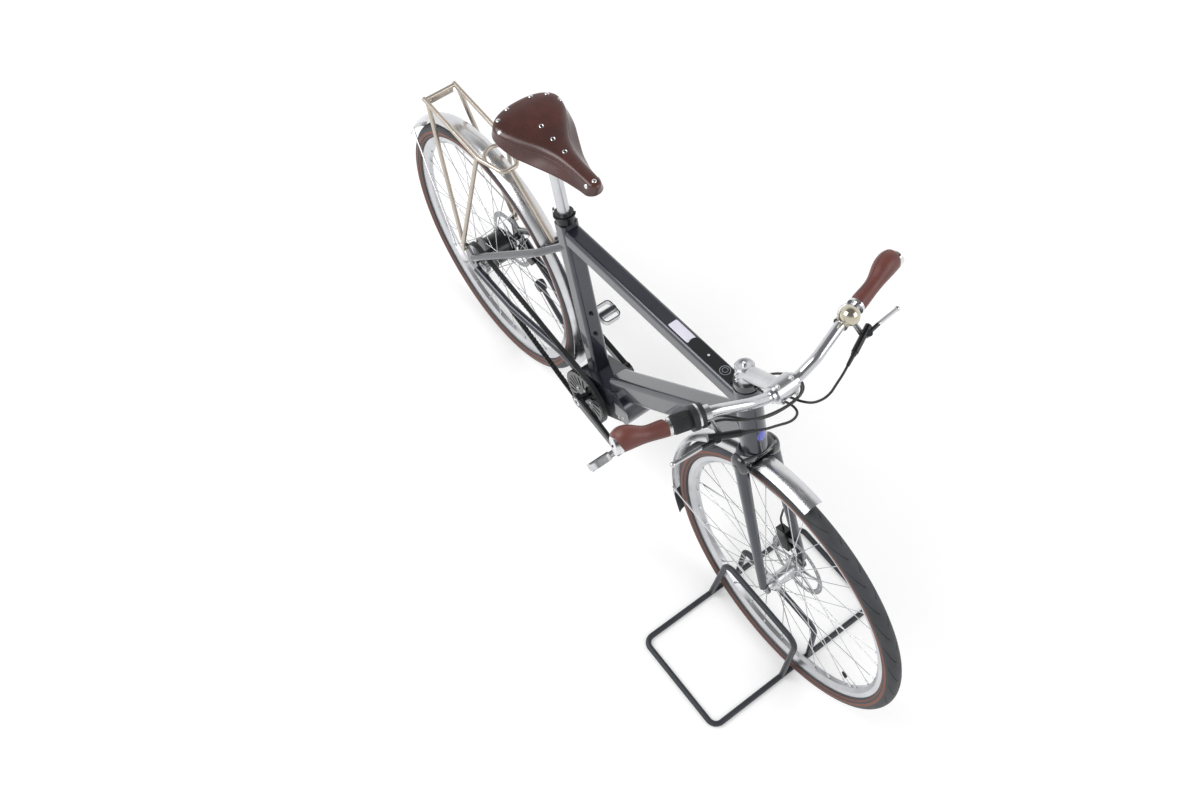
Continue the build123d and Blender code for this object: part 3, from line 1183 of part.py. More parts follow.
def kickstand_bracket():
    """Bracket clamped round the left chainstay, with an arm down to the kickstand's pin."""
    pivot, outward = KICKSTAND_PIVOT, -Vector(KICKSTAND_AXIS)
    thickness, width = KICKSTAND_ARM
    plate = pivot - outward * (KICKSTAND_HUB_T / 2 + SEAT_GAP)
    head = plate + outward * (KICKSTAND_HUB_T + 2 * SEAT_GAP)
    bend, waist = chainstay_points(1)[1:3]
    along = (waist - bend).normalized()
    clamp = bend + along * ((pivot.X - bend.X) / along.X)
    collar = rod(clamp - along * width / 2, clamp + along * width / 2, CHAINSTAY_R + KICKSTAND_COLLAR_T)
    foot = plate - outward * thickness / 2
    arm = extrude(Plane(origin=foot, x_dir=(1, 0, 0), z_dir=clamp - foot)
                  * RectangleRounded(width, thickness, 2), (clamp - foot).length)
    bracket = collar + arm - rod(plate, plate + outward * width, KICKSTAND_HUB_R + RUN_GAP)
    bracket += rod(plate - outward * thickness, plate, KICKSTAND_HUB_R)
    bracket += rod(plate - outward, head + outward, KICKSTAND_PIN_R)
    bracket += rod(head, head + outward * 4, 1.7 * KICKSTAND_PIN_R)
    return bracket - chainstay_form(1, SEAT_GAP)


# ---------------------------------------------------------------- stand
def stand_base():
    """Floor loop of the wheel stand."""
    rear, front = WHEELBASE + STAND_REAR_X, WHEELBASE + STAND_FRONT_X
    z = STAND_TUBE_R
    half = STAND_HALF_W
    path_points = [((rear + front) / 2, -half, z), (front, -half, z), (front, half, z), (rear, half, z),
                   (rear, -half, z), ((rear + front) / 2 - 1, -half, z)]
    loop = bent_tube(path_points, STAND_TUBE_R, [STAND_CORNER_R] * 4)
    return loop + rod(((rear + front) / 2 - 2, -half, z), ((rear + front) / 2 + 1, -half, z), STAND_TUBE_R)


def stand_hoops():
    """Two hoops that hold the wheel upright between them, seated on the floor loop's crossbars."""
    solids = []
    rear, front = WHEELBASE + STAND_REAR_X, WHEELBASE + STAND_FRONT_X
    for side in (1, -1):
        points = [(rear, side * HOOP_FOOT_Y, STAND_TUBE_R),
                  (WHEELBASE + HOOP_REAR_X, side * HOOP_TOP_Y, HOOP_TOP_Z),
                  (WHEELBASE + HOOP_FRONT_X, side * HOOP_TOP_Y, HOOP_TOP_Z),
                  (front, side * HOOP_FOOT_Y, STAND_TUBE_R)]
        hoop = bent_tube(points, STAND_TUBE_R, [HOOP_CORNER_R, HOOP_CORNER_R])
        for x in (rear, front):
            hoop -= rod((x, -STAND_HALF_W, STAND_TUBE_R), (x, STAND_HALF_W, STAND_TUBE_R), STAND_TUBE_R + SEAT_GAP)
        hoop = split(hoop, bisect_by=Plane(origin=(0, 0, STAND_TUBE_R), z_dir=(0, 0, 1)), keep=Keep.TOP)
        solids.append(hoop.solids().sort_by(SortBy.VOLUME)[-1])
    return Compound(solids)


# ---------------------------------------------------------------- assembly
def build():
    """Every piece by its node name, at its place."""
    at_rear = Pos(*REAR_HUB)
    at_front = Pos(*FRONT_HUB)
    at_bb = Pos(*BB)
    pulley_y = Pos(0, BELT_Y, 0)
    rear_pulley = pulley(REAR_PULLEY_TEETH, BELT_W, REAR_PULLEY_SLOT_IN_R, PULLEY_SLOTS // 2)
    rear_pulley -= across_disc(Vector(), AXLE_CAP_R + SEAT_GAP, -BELT_W, BELT_W)
    front_pulley = pulley(FRONT_PULLEY_TEETH, BELT_W, PULLEY_SLOT_IN_R, PULLEY_SLOTS)
    front_pulley -= across_disc(Vector(), SPINDLE_R + SEAT_GAP, -BELT_W, BELT_W)
    return {
        "seat_tube": seat_tube(),
        "top_tube": top_tube(),
        "top_tube_control": top_tube_control(),
        "down_tube": down_tube(),
        "head_tube": head_tube(),
        "drive_unit": drive_unit(),
        "motor_shell": motor_shell(),
        "chainstays": chainstays(),
        "seatstays": seatstays(),
        "seat_clamp": seat_clamp(),
        "seatpost": seatpost(),
        "saddle_frame": saddle_frame(),
        "saddle_leather": saddle_leather(),
        "rear_mudguard": rear_mudguard(),
        "rear_mudguard_stays": at_rear * guard_stay(REAR_STAY_ANGLE, (-EYELET_BACK - REAR_STAY_BACK, EYELET_UP),
                                                    EYELET_Y + REAR_STAY_OUT),
        "rack_top": rack_top(),
        "rack_legs": rack_legs(),
        "rear_caliper": caliper(REAR_CALIPER_ANGLE, REAR_HUB, REAR_ROTOR_Y, REAR_POST_Y, chainstay_form(1, SEAT_GAP)),
        "belt": belt(),
        "kickstand_bracket": kickstand_bracket(),
        "kickstand": kickstand(),
        "fork_crown": fork_crown(),
        "fork_blades": fork_blades(),
        "headset": headset(),
        "stem": stem(),
        "handlebar": handlebar(),
        "grips": grips(),
        "grip_rings": grip_rings(),
        "twist_shifter": twist_shifter(),
        "brake_lever_right": brake_lever(-1),
        "brake_lever_left": brake_lever(1),
        "bell": bell(),
        "front_mudguard": front_mudguard(),
        "mudguard_flap": mudguard_flap(),
        "front_mudguard_stays": at_front * guard_stay(FRONT_STAY_ANGLE, FRONT_STAY_FOOT, FRONT_STAY_Y),
        "front_caliper": caliper(FORK_BLADE_ANGLE, FRONT_HUB, FRONT_ROTOR_Y, FRONT_POST_Y, blade_form(1, SEAT_GAP)),
        "hose_right": cord(HOSE_RIGHT),
        "hose_left": cord(HOSE_LEFT),
        "gear_cable_a": cord(GEAR_CABLE_A),
        "gear_cable_b": cord(GEAR_CABLE_B),
        "stand_base": stand_base(),
        "stand_hoops": stand_hoops(),
        "front_tyre": at_front * tyre(),
        "front_rim": at_front * rim(),
        "front_spokes": at_front * spokes(FRONT_HUB_FLANGE_R, FRONT_HUB_FLANGE_Y),
        "front_hub": at_front * hub(FRONT_HUB_FLANGE_R, FRONT_HUB_FLANGE_Y, FRONT_HUB_BARREL_R, FRONT_HUB_W),
        "front_rotor": at_front * rotor(FRONT_ROTOR_Y),
        "rear_tyre": at_rear * tyre(),
        "rear_rim": at_rear * rim(),
        "rear_spokes": at_rear * spokes(REAR_HUB_FLANGE_R, REAR_HUB_FLANGE_Y),
        "rear_hub": at_rear * hub(REAR_HUB_FLANGE_R, REAR_HUB_FLANGE_Y, REAR_HUB_BARREL_R, REAR_HUB_W),
        "rear_rotor": at_rear * rotor(REAR_ROTOR_Y),
        "rear_pulley": at_rear * pulley_y * rear_pulley,
        "front_pulley": at_bb * pulley_y * front_pulley,
        "crank_right": crank_arm(-1) + spindle(),
        "crank_left": crank_arm(1),
        "pedal_right": pedal(-1),
        "pedal_left": pedal(1),
    }


pieces = build()
box = Compound([Compound(list(piece.solids())) for piece in pieces.values()]).bounding_box()
shift = Pos(-(box.min.X + box.max.X) / 2, -(box.min.Y + box.max.Y) / 2, -box.min.Z)
print("rear floor point at", [round(v, 3) for v in shift.position])
os.makedirs("parts", exist_ok=True)
for name, piece in pieces.items():
    solids = [shift * solid for solid in piece.solids()]
    shape = solids[0] if len(solids) == 1 else Compound(solids)
    shape.label = name
    export_step(shape, f"parts/{name}.step")
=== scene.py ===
"""Looks of a city e-bike in its wheel stand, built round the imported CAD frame.

Every length is in metres and every place is in the frame's own axes: X forward, Y to the
rider's left, Z up, with the floor at zero.
"""
from __future__ import annotations

import json
import logging
import math
from dataclasses import dataclass
from enum import Enum
from typing import Any, Callable, Mapping, Sequence

import bmesh
import bpy
import numpy as np
from mathutils import Matrix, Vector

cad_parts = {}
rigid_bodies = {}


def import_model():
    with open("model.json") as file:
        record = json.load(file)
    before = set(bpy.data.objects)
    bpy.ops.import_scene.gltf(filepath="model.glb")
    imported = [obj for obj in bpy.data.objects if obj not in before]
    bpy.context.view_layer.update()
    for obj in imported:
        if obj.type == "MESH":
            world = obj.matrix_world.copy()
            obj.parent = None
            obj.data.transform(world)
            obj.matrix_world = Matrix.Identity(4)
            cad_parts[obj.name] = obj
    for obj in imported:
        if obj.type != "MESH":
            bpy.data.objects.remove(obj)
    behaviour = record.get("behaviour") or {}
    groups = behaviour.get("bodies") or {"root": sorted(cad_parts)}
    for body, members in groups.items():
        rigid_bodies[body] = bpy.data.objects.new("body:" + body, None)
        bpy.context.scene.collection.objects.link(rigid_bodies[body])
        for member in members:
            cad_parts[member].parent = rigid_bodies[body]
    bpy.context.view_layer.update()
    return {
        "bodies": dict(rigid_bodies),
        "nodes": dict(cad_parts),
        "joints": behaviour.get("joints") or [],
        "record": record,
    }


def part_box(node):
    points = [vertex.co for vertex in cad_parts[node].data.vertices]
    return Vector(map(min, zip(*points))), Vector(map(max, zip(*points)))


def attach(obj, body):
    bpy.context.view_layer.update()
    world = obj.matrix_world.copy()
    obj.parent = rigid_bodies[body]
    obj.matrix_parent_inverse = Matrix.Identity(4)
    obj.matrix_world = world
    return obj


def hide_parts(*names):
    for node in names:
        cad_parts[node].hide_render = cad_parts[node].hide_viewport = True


LOG = logging.getLogger("city_e_bike")
MM = 0.001
CLOUD_MM = 70          # soft clouds of wear
CLOUD_SPAN = (0.45, 0.85)    # height of a cloud where the worn colour starts and where it is full
FINE_IN_CLOUD = 0.3    # how much the fine pattern breaks up a cloud's edge
BUFF_STRETCH = 14      # length of a buffing line over its width
TURN = 2 * math.pi
ACROSS = np.array((0.0, 1.0, 0.0))
Tree, Socket, Array, Point = bpy.types.NodeTree, bpy.types.NodeSocket, np.ndarray, Sequence[float]


# ---------------------------------------------------------------- shader nodes and finishes
def linear(hex_colour: str) -> tuple[float, float, float, float]:
    """Turn an sRGB hex colour into a linear one.

    Args:
        hex_colour: six hex digits after a hash.
    Returns:
        Linear red, green and blue, and an alpha of one.
    """
    srgb = np.array([int(hex_colour[i:i + 2], 16) for i in (1, 3, 5)]) / 255
    light = np.where(srgb <= 0.04045, srgb / 12.92, ((srgb + 0.055) / 1.055) ** 2.4)
    return (*light.tolist(), 1.0)


def add(tree: Tree, kind: str, inputs: Mapping[Any, Any] | None = None, out: int | str = 0) -> Socket | None:
    """Add a shader node with its settings and its links.

    Args:
        tree: node tree to add it to.
        kind: Blender's name of the node, without its prefix.
        inputs: values by the name of an attribute, or by the name or number of an input, where an
            output socket is linked to that input.
        out: name or number of the output to give back.
    Returns:
        That output of the new node, or nothing where it has none.
    """
    node = tree.nodes.new("ShaderNode" + kind)
    for key, value in (inputs or {}).items():
        if isinstance(value, Socket):
            tree.links.new(value, node.inputs[key])
        elif isinstance(key, str) and key not in node.inputs:
            setattr(node, key, value)
        else:
            node.inputs[key].default_value = value
    return node.outputs[out] if node.outputs else None


class Grain(Enum):
    """How a surface was made, which gives its fine pattern."""

    FLAKE = "metal flakes under a clear coat"
    CAST = "fine pebbled casting, powder coat or moulding"
    BUFFED = "buffing lines along a part"
    TURNED = "rings about an axle"
    HIDE = "pores and creases of leather"


@dataclass(frozen=True)
class Finish:
    """A finish named after its material and how it was made."""

    name: str
    colour: str
    worn: str
    grain: Grain
    grain_mm: float
    roughness: tuple[float, float]
    relief_mm: float = 0.01
    metallic: float = 0.0
    coat: float = 0.0
    coat_roughness: float = 0.05
    share: float = 1.0
    axle: tuple[float, float] = (0.0, 0.0)
    slot: str = ""          # material slot of the record

    def coordinates(self, tree: Tree) -> Socket:
        """Give the coordinates that the fine pattern reads, in grains.

        Args:
            tree: the material's nodes.
        Returns:
            The coordinates.
        """
        where = add(tree, "TexCoord", out="Object")
        size = 1 / (self.grain_mm * MM)
        scale = (size / BUFF_STRETCH, size, size) if self.grain is Grain.BUFFED else (size,) * 3
        if self.grain is Grain.TURNED:
            # rings: distance from the axle and place along it
            flat = add(tree, "Mapping", {"Location": (-self.axle[0], 0, -self.axle[1]), "Vector": where})
            x, y, z = add(tree, "SeparateXYZ", {0: flat}).node.outputs
            plane = add(tree, "CombineXYZ", {0: x, 2: z})
            radius = add(tree, "VectorMath", {"operation": "LENGTH", 0: plane}, "Value")
            where = add(tree, "CombineXYZ", {0: radius, 1: y})
        return add(tree, "Mapping", {"Scale": scale, "Vector": where})

    def pattern(self, tree: Tree) -> Socket:
        """Give the fine pattern's height, from 0 to 1.

        Args:
            tree: the material's nodes.
        Returns:
            The height.
        """
        where = self.coordinates(tree)
        if self.grain is Grain.FLAKE:
            flakes = add(tree, "TexVoronoi", {"Scale": 1.0, "Vector": where}, "Color")
            return add(tree, "RGBToBW", {0: flakes})
        if self.grain is Grain.HIDE:
            pores = add(tree, "TexVoronoi", {"feature": "DISTANCE_TO_EDGE", "Scale": 1.0, "Vector": where},
                        "Distance")
            creases = add(tree, "TexNoise", {"Scale": 0.35, "Detail": 4.0, "Vector": where})
            return add(tree, "Math", {"operation": "MULTIPLY", 0: pores, 1: creases})
        return add(tree, "TexNoise", {"Scale": 1.0, "Detail": 3.0, "Roughness": 0.6, "Vector": where})

    def colours(self, tree: Tree, fine: Socket) -> Socket:
        """Give the colour: the clean one, with the worn one in soft clouds.

        Args:
            tree: the material's nodes.
            fine: height of the fine pattern.
        Returns:
            The colour.
        """
        cloud = add(tree, "TexNoise", {"Scale": 1 / (CLOUD_MM * MM), "Detail": 5.0, "Roughness": 0.65,
                                       "Vector": add(tree, "TexCoord", out="Object")})
        both = add(tree, "Math", {"operation": "MULTIPLY_ADD", 1: FINE_IN_CLOUD, 0: fine, 2: cloud})
        start, full = CLOUD_SPAN
        share = add(tree, "MapRange", {1: start, 2: full, 3: 0.0, 4: self.share, 0: both})
        ends = {6: linear(self.colour), 7: linear(self.worn)}
        return add(tree, "Mix", {"data_type": "RGBA", **ends, 0: share}, 2)

    def material(self) -> bpy.types.Material:
        """Make the material, or find the one already made.

        Returns:
            The material.
        """
        made = bpy.data.materials.get(self.name)
        if made:
            return made
        made = bpy.data.materials.new(self.name)
        made.use_nodes = True
        tree = made.node_tree
        tree.nodes.clear()
        fine = self.pattern(tree)
        shader = add(tree, "BsdfPrincipled", {
            "Metallic": self.metallic, "Coat Weight": self.coat, "Coat Roughness": self.coat_roughness,
            "Base Color": self.colours(tree, fine),
            "Roughness": add(tree, "MapRange", {3: self.roughness[0], 4: self.roughness[1], 0: fine}),
            "Normal": add(tree, "Bump", {"Strength": 1.0, "Distance": self.relief_mm * MM, "Height": fine})})
        add(tree, "OutputMaterial", {0: shader})
        return made


@dataclass(frozen=True)
class TyreRubber(Finish):
    """Tyre rubber: black tread and a tan sidewall with a black line, read across the tyre's section."""

    wall: str = "#7b4c3d"
    # shares of the way from the crown to the rim where black gives way to tan and back
    bands: tuple[float, ...] = (0.60, 0.73, 0.83, 0.90)
    soft: float = 0.01      # half width of a band's soft edge

    def colours(self, tree: Tree, fine: Socket) -> Socket:
        """Give the colour: tan between each pair of bands, black elsewhere.

        Args:
            tree: the material's nodes.
            fine: height of the fine pattern.
        Returns:
            The colour.
        """
        black = super().colours(tree, fine)
        place = add(tree, "Attribute", {"attribute_name": "across"}, "Fac")
        bands = []
        for low, high in zip(self.bands[::2], self.bands[1::2]):
            rise, fall = [add(tree, "MapRange", {1: at - self.soft, 2: at + self.soft, 3: first,
                                                 4: 1.0 - first, 0: place})
                          for at, first in ((low, 0.0), (high, 1.0))]
            bands.append(add(tree, "Math", {"operation": "MULTIPLY", 0: rise, 1: fall}))
        tan = add(tree, "Math", {"operation": "ADD", 0: bands[0], 1: bands[1]})
        return add(tree, "Mix", {"data_type": "RGBA", 7: linear(self.wall), 0: tan, 6: black}, 2)


# Grain sizes are in millimetres. Buffing lines, grinding rings, flakes and the twist of a thread are
# too fine to show at their real size, so they are drawn several times coarser.
# Slate metallic paint: 0.5 mm flakes, drawn coarser than real ones, under a glossy clear coat.
FRAME_PAINT = Finish("slate_metallic_lacquer", "#262934", "#31343f", Grain.FLAKE, 0.5, (0.26, 0.40),
                     0.001, metallic=0.5, coat=1.0)
# The motor's moulded cover in the tubes' slate paint, darkened here as painted shade for the darker
# reflections it shows, and a little glossier than the tubes.
SHADED_FRAME_PAINT = Finish("slate_lacquer_with_painted_shade", "#1a1c26", "#242733", Grain.FLAKE, 0.5, (0.2, 0.3),
                     0.001, metallic=0.35, coat=1.0)
# Black lacquer over a smooth casting: a deep, glassy black with crisp highlights.
FORK_BLACK = Finish("gloss_black_lacquer", "#0f1117", "#181b23", Grain.FLAKE, 0.5, (0.15, 0.25), 0.001,
                    coat=1.0, slot="fork_black")
# Die-cast motor case in satin black, with the soft pebble of a casting.
MOTOR_BLACK = Finish("satin_black_die_casting", "#1e2023", "#2d3034", Grain.CAST, 0.9, (0.38, 0.55), 0.03)
# Aluminium anodised black: dark metal with a soft, slightly grainy sheen.
BLACK_ALLOY = Finish("black_anodised_aluminium", "#131417", "#212327", Grain.CAST, 0.6, (0.22, 0.36),
                     0.003, metallic=0.5, coat=0.3, slot="black_alloy")
# Brushed aluminium, anodised clear: pale, even metal with a satin highlight.
SILVER_ALLOY = Finish("satin_anodised_aluminium", "#d3d4d6", "#c2c3c7", Grain.BUFFED, 0.5, (0.26, 0.36),
                      0.0008, metallic=1.0, slot="silver_alloy")
# Hand-polished aluminium: faint buffing lines and a little grey haze.
POLISHED = Finish("polished_aluminium", "#d6d6d9", "#c4c5ca", Grain.BUFFED, 0.6, (0.10, 0.20), 0.0004,
                  metallic=1.0, slot="polished_alloy")
# Rolled aluminium guard, buffed to a soft satin that spreads its highlights.
GUARD_ALLOY = Finish("satin_rolled_aluminium", "#dededf", "#cccdd1", Grain.BUFFED, 0.6, (0.20, 0.30),
                     0.0004, metallic=1.0, slot="polished_alloy")
# Cast aluminium blasted with glass beads: an even grey with a dull shine.
HUB_CASTING = Finish("bead_blasted_hub_casting", "#8b8d92", "#75777c", Grain.CAST, 0.6, (0.32, 0.48),
                     0.01, metallic=0.9)
# Chromed steel: a bright mirror with hardly any grain.
CHROME = Finish("chromed_steel", "#dcdddf", "#c9cacd", Grain.BUFFED, 0.8, (0.04, 0.09), 0.0002,
                metallic=1.0, slot="chromed_steel")
# Satin lacquer with fine metal powder: warm champagne with a silky sheen.
RACK_PAINT = Finish("champagne_satin_lacquer", "#c6bcb0", "#b3a99d", Grain.FLAKE, 0.5, (0.26, 0.36),
                    0.001, metallic=0.75, coat=0.4, coat_roughness=0.2)
# Oxblood saddle hide, waxed: pores 1.1 mm apart and dark creases, with a soft sheen.
SADDLE_HIDE = Finish("waxed_oxblood_hide", "#3f221e", "#5a2f29", Grain.HIDE, 1.1, (0.26, 0.46), 0.02,
                     coat=0.25, coat_roughness=0.25, slot="saddle_leather")
# Tanned hide sewn round the grips: matt, warm brown with pores 1 mm apart.
GRIP_HIDE = Finish("stitched_tan_hide", "#693831", "#4f2925", Grain.HIDE, 1.0, (0.42, 0.62), 0.05,
                   slot="grip_leather")
# Waxed thread: dark, dull dashes along the seam.
THREAD = Finish("waxed_linen_thread", "#2e1a18", "#3b211d", Grain.CAST, 0.4, (0.6, 0.8), 0.03,
                slot="grip_leather")
# Injection-moulded nylon: dull black with a fine moulded texture.
BLACK_PLASTIC = Finish("moulded_black_nylon", "#18191b", "#232427", Grain.CAST, 0.7, (0.42, 0.6), 0.02,
                       slot="black_plastic")
# Plated brass dome: a warm, bright mirror.
BELL_PLATE = Finish("plated_brass", "#cfcaba", "#b9b19c", Grain.BUFFED, 0.8, (0.06, 0.14), 0.0003,
                    metallic=1.0)
# Powder coat baked on steel: dark grey, with a fine pebble that softens its highlights.
STAND_COAT = Finish("black_powder_coat", "#282a30", "#34373e", Grain.CAST, 0.8, (0.35, 0.5), 0.03)
# Stainless steel drawn into wire: bright, with fine lines along it.
SPOKE_STEEL = Finish("drawn_stainless_wire", "#d2d3d5", "#c0c1c4", Grain.BUFFED, 0.5, (0.15, 0.3), 0.0005,
                     metallic=1.0, slot="spoke_steel")
# Stainless steel ground flat: grey metal with fine rings.
ROTOR_STEEL = Finish("ground_stainless_disc", "#bcbdc0", "#9c9ea1", Grain.TURNED, 0.5, (0.2, 0.38), 0.001,
                     metallic=1.0)
# Cast polyurethane belt: black with a slight, waxy shine.
BELT_RUBBER = Finish("toothed_belt_polyurethane", "#1b1c1e", "#2a2b2e", Grain.CAST, 0.8, (0.34, 0.5),
                     0.02)
# Extruded jackets of hoses and cables: smooth black with a soft line of light along them.
HOSE_RUBBER = Finish("hose_thermoplastic", "#141416", "#1e1f22", Grain.CAST, 0.8, (0.32, 0.45), 0.005,
                     slot="hose_black")
# Aluminium blasted with beads: dark grey, even and matt.
PEDAL_ALLOY = Finish("bead_blasted_aluminium", "#55575b", "#47494d", Grain.CAST, 0.5, (0.35, 0.5), 0.02,
                     metallic=0.9)
# Moulded rubber: dull black that hardly shines.
FLAP_RUBBER = Finish("moulded_flap_rubber", "#202124", "#2b2c30", Grain.CAST, 0.8, (0.5, 0.65), 0.02)
# Acrylic panel: glossy black that reflects like glass.
GLOSS_PANEL = Finish("gloss_black_acrylic", "#0c0d10", "#15161a", Grain.CAST, 0.9, (0.08, 0.14), 0.001,
                     coat=0.6)
# Ink printed in a ring: flat mid grey.
PALE_RING = Finish("printed_grey_ring", "#7f838c", "#6d7179", Grain.CAST, 0.6, (0.3, 0.4), 0.002,
                   slot="button_black")
# Self-adhesive film: flat and very pale.
LABEL_FILM = Finish("pale_matt_film", "#dedce8", "#d2cfde", Grain.CAST, 0.8, (0.45, 0.6), 0.004,
                    slot="frame_paint")
# Stoved enamel: clear violet blue under a glassy coat.
BADGE_ENAMEL = Finish("violet_blue_enamel", "#5a62cc", "#4a52b4", Grain.CAST, 0.9, (0.12, 0.2), 0.004,
                      coat=0.8, slot="frame_paint")
# Vulcanised rubber: black tread and tan wall, both matt.
TYRE_RUBBER = TyreRubber("black_tread_tan_wall_rubber", "#333437", "#434449", Grain.CAST, 0.8,
                         (0.5, 0.72), 0.03, slot="tyre_rubber")


# ---------------------------------------------------------------- surfaces
def unit(vector: Point | Array) -> Array:
    """Give the direction of a vector, as one of length one."""
    vector = np.asarray(vector, float)
    return vector / np.linalg.norm(vector)


def square_to(axis: Array) -> tuple[Array, Array]:
    """Give two directions square to an axis and to each other, so that the three are right-handed.

    Args:
        axis: direction of length one.
    Returns:
        The two directions.
    """
    helper = ACROSS if abs(axis[1]) < 0.9 else np.array((1.0, 0.0, 0.0))
    side = unit(np.cross(helper, axis))
    return side, np.cross(axis, side)


@dataclass
class Surface:
    """Points and four-cornered faces, with an optional value of each point for the material."""

    points: Array
    faces: Array
    across: Array | None = None


def grid(points: Array, close_rows: bool = False, close_columns: bool = False) -> Surface:
    """Make a surface from a grid of points, each joined to the next in its row and column.

    Args:
        points: rows by columns by three.
        close_rows: whether the last row meets the first.
        close_columns: whether the last column meets the first.
    Returns:
        The surface.
    """
    rows, columns = points.shape[:2]
    row, column = np.meshgrid(np.arange(rows if close_rows else rows - 1),
                              np.arange(columns if close_columns else columns - 1), indexing="ij")
    next_row, next_column = (row + 1) % rows, (column + 1) % columns
    corners = (row * columns + column, row * columns + next_column,
               next_row * columns + next_column, next_row * columns + column)
    return Surface(points.reshape(-1, 3), np.stack(corners, -1).reshape(-1, 4))


def joined(surfaces: Sequence[Surface]) -> Surface:
    """Put several surfaces into one, each with its own points.

    Args:
        surfaces: the surfaces.
    Returns:
        One surface.
    """
    starts = np.cumsum([0] + [len(part.points) for part in surfaces[:-1]])
    return Surface(np.concatenate([part.points for part in surfaces]),
                   np.concatenate([part.faces + start for part, start in zip(surfaces, starts)]))


def lathe(profile: Sequence[tuple[float, ...]], centre: Point, axis: Point,
          sides: int = 32) -> Surface:
    """Turn a profile about an axis: each ring is at its height, with its radius times a round or
    many-sided outline, where a flat's outline is its half width over the cosine of the angle from
    the middle of that flat.

    Args:
        profile: height and radius of each ring, and the count of flats where it isn't round.
        centre: point at height zero.
        axis: direction in which heights are measured.
        sides: points in a ring.
    Returns:
        The surface, open only where its end rings have a radius.
    """
    direction = unit(axis)
    side, other = square_to(direction)
    turn = np.linspace(0, TURN, sides, endpoint=False)
    rows = []
    for height, radius, *flats in profile:
        outline = np.full(sides, radius)
        if flats:
            part = TURN / flats[0]
            outline = radius / np.cos((turn + part / 2) % part - part / 2)
        rows.append(placed(np.asarray(centre, float) + height * direction, (outline * np.cos(turn), side),
                           (outline * np.sin(turn), other)))
    return grid(np.array(rows), close_columns=True)


def tube(path: Array, radius: float | Array, sides: int = 12, closed: bool = False,
         reference: Array = ACROSS) -> Surface:
    """Carry a circle along a path: each ring is square to the path's own direction there.

    Args:
        path: points by three.
        radius: one radius, or one for each point.
        sides: points in a ring.
        closed: whether the path's end meets its start.
        reference: direction that no part of the path follows.
    Returns:
        The surface, closed at both ends.
    """
    if closed:
        along = np.roll(path, -1, 0) - np.roll(path, 1, 0)
    else:
        along = np.gradient(path, axis=0)
    along = along / np.linalg.norm(along, axis=1, keepdims=True)
    side = np.cross(reference, along)
    side = side / np.linalg.norm(side, axis=1, keepdims=True)
    other = np.cross(along, side)
    turn = np.linspace(0, TURN, sides, endpoint=False)
    size = np.broadcast_to(np.asarray(radius, float), (len(path),))[:, None, None]
    ring = side[:, None] * np.cos(turn)[None, :, None] + other[:, None] * np.sin(turn)[None, :, None]
    points = path[:, None] + size * ring
    if not closed:
        start, stop = [np.repeat(end[:, None], sides, 1) for end in (path[:1], path[-1:])]
        points = np.concatenate((start, points, stop))
    return grid(points, close_rows=closed, close_columns=True)


def placed(centre: Array, *parts: tuple[Array, Array]) -> Array:
    """Give points at a centre plus the sum, over the parts, of a part's sizes times its direction."""
    return centre + sum(np.asarray(size)[..., None] * direction for size, direction in parts)


def lattice(rows: Array, sides: int) -> tuple[Array, Array]:
    """Give each row's value and each turn of a full circle, as two grids of rows by sides."""
    return tuple(np.meshgrid(rows, np.linspace(0, TURN, sides, endpoint=False), indexing="ij"))


def peg(radius: float, low: float, high: float) -> tuple[tuple[float, float], ...]:
    """Give the profile of a plain round peg between two heights."""
    return (low, 0), (low, radius), (high, radius), (high, 0)


def bulge(wave: Array, degree: float) -> Array:
    """Give a superellipse's share of a sine or cosine: its size to the power of two over the degree."""
    return np.sign(wave) * np.abs(wave) ** (2 / degree)


def arc(centre: Point, radius: float, start: float, end: float, y: float, count: int) -> Array:
    """Give points on an arc in a wheel's plane.

    Args:
        centre: the wheel's centre.
        radius: the arc's radius.
        start: angle in degrees where it starts, from forward to up.
        end: angle where it ends.
        y: its place across the wheel.
        count: count of points.
    Returns:
        The points.
    """
    turn = np.radians(np.linspace(start, end, count))
    x, z = centre[0] + radius * np.cos(turn), centre[2] + radius * np.sin(turn)
    return np.stack((x, np.full(count, y), z), -1)


def socket_screws(places: Sequence[tuple[Point, Point]], radius: float,
                  height: float) -> Surface:
    """Make screws with a hexagon socket: a rounded head, then a six-sided hole half as wide.

    Args:
        places: foot and direction of each screw.
        radius: radius of the heads.
        height: height of the heads.
    Returns:
        All the screws as one surface.
    """
    profile = ((-0.3 * height, 0.0), (-0.3 * height, radius), (0.75 * height, radius),
               (height, 0.86 * radius), (height, 0.5 * radius, 6),
               (0.35 * height, 0.5 * radius, 6), (0.35 * height, 0.0))
    return joined([lathe(profile, at, axis, 24) for at, axis in places])


def centre_of(node: str) -> Array:
    """Give the middle of a CAD node's box."""
    low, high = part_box(node)
    return (np.array(low) + np.array(high)) / 2


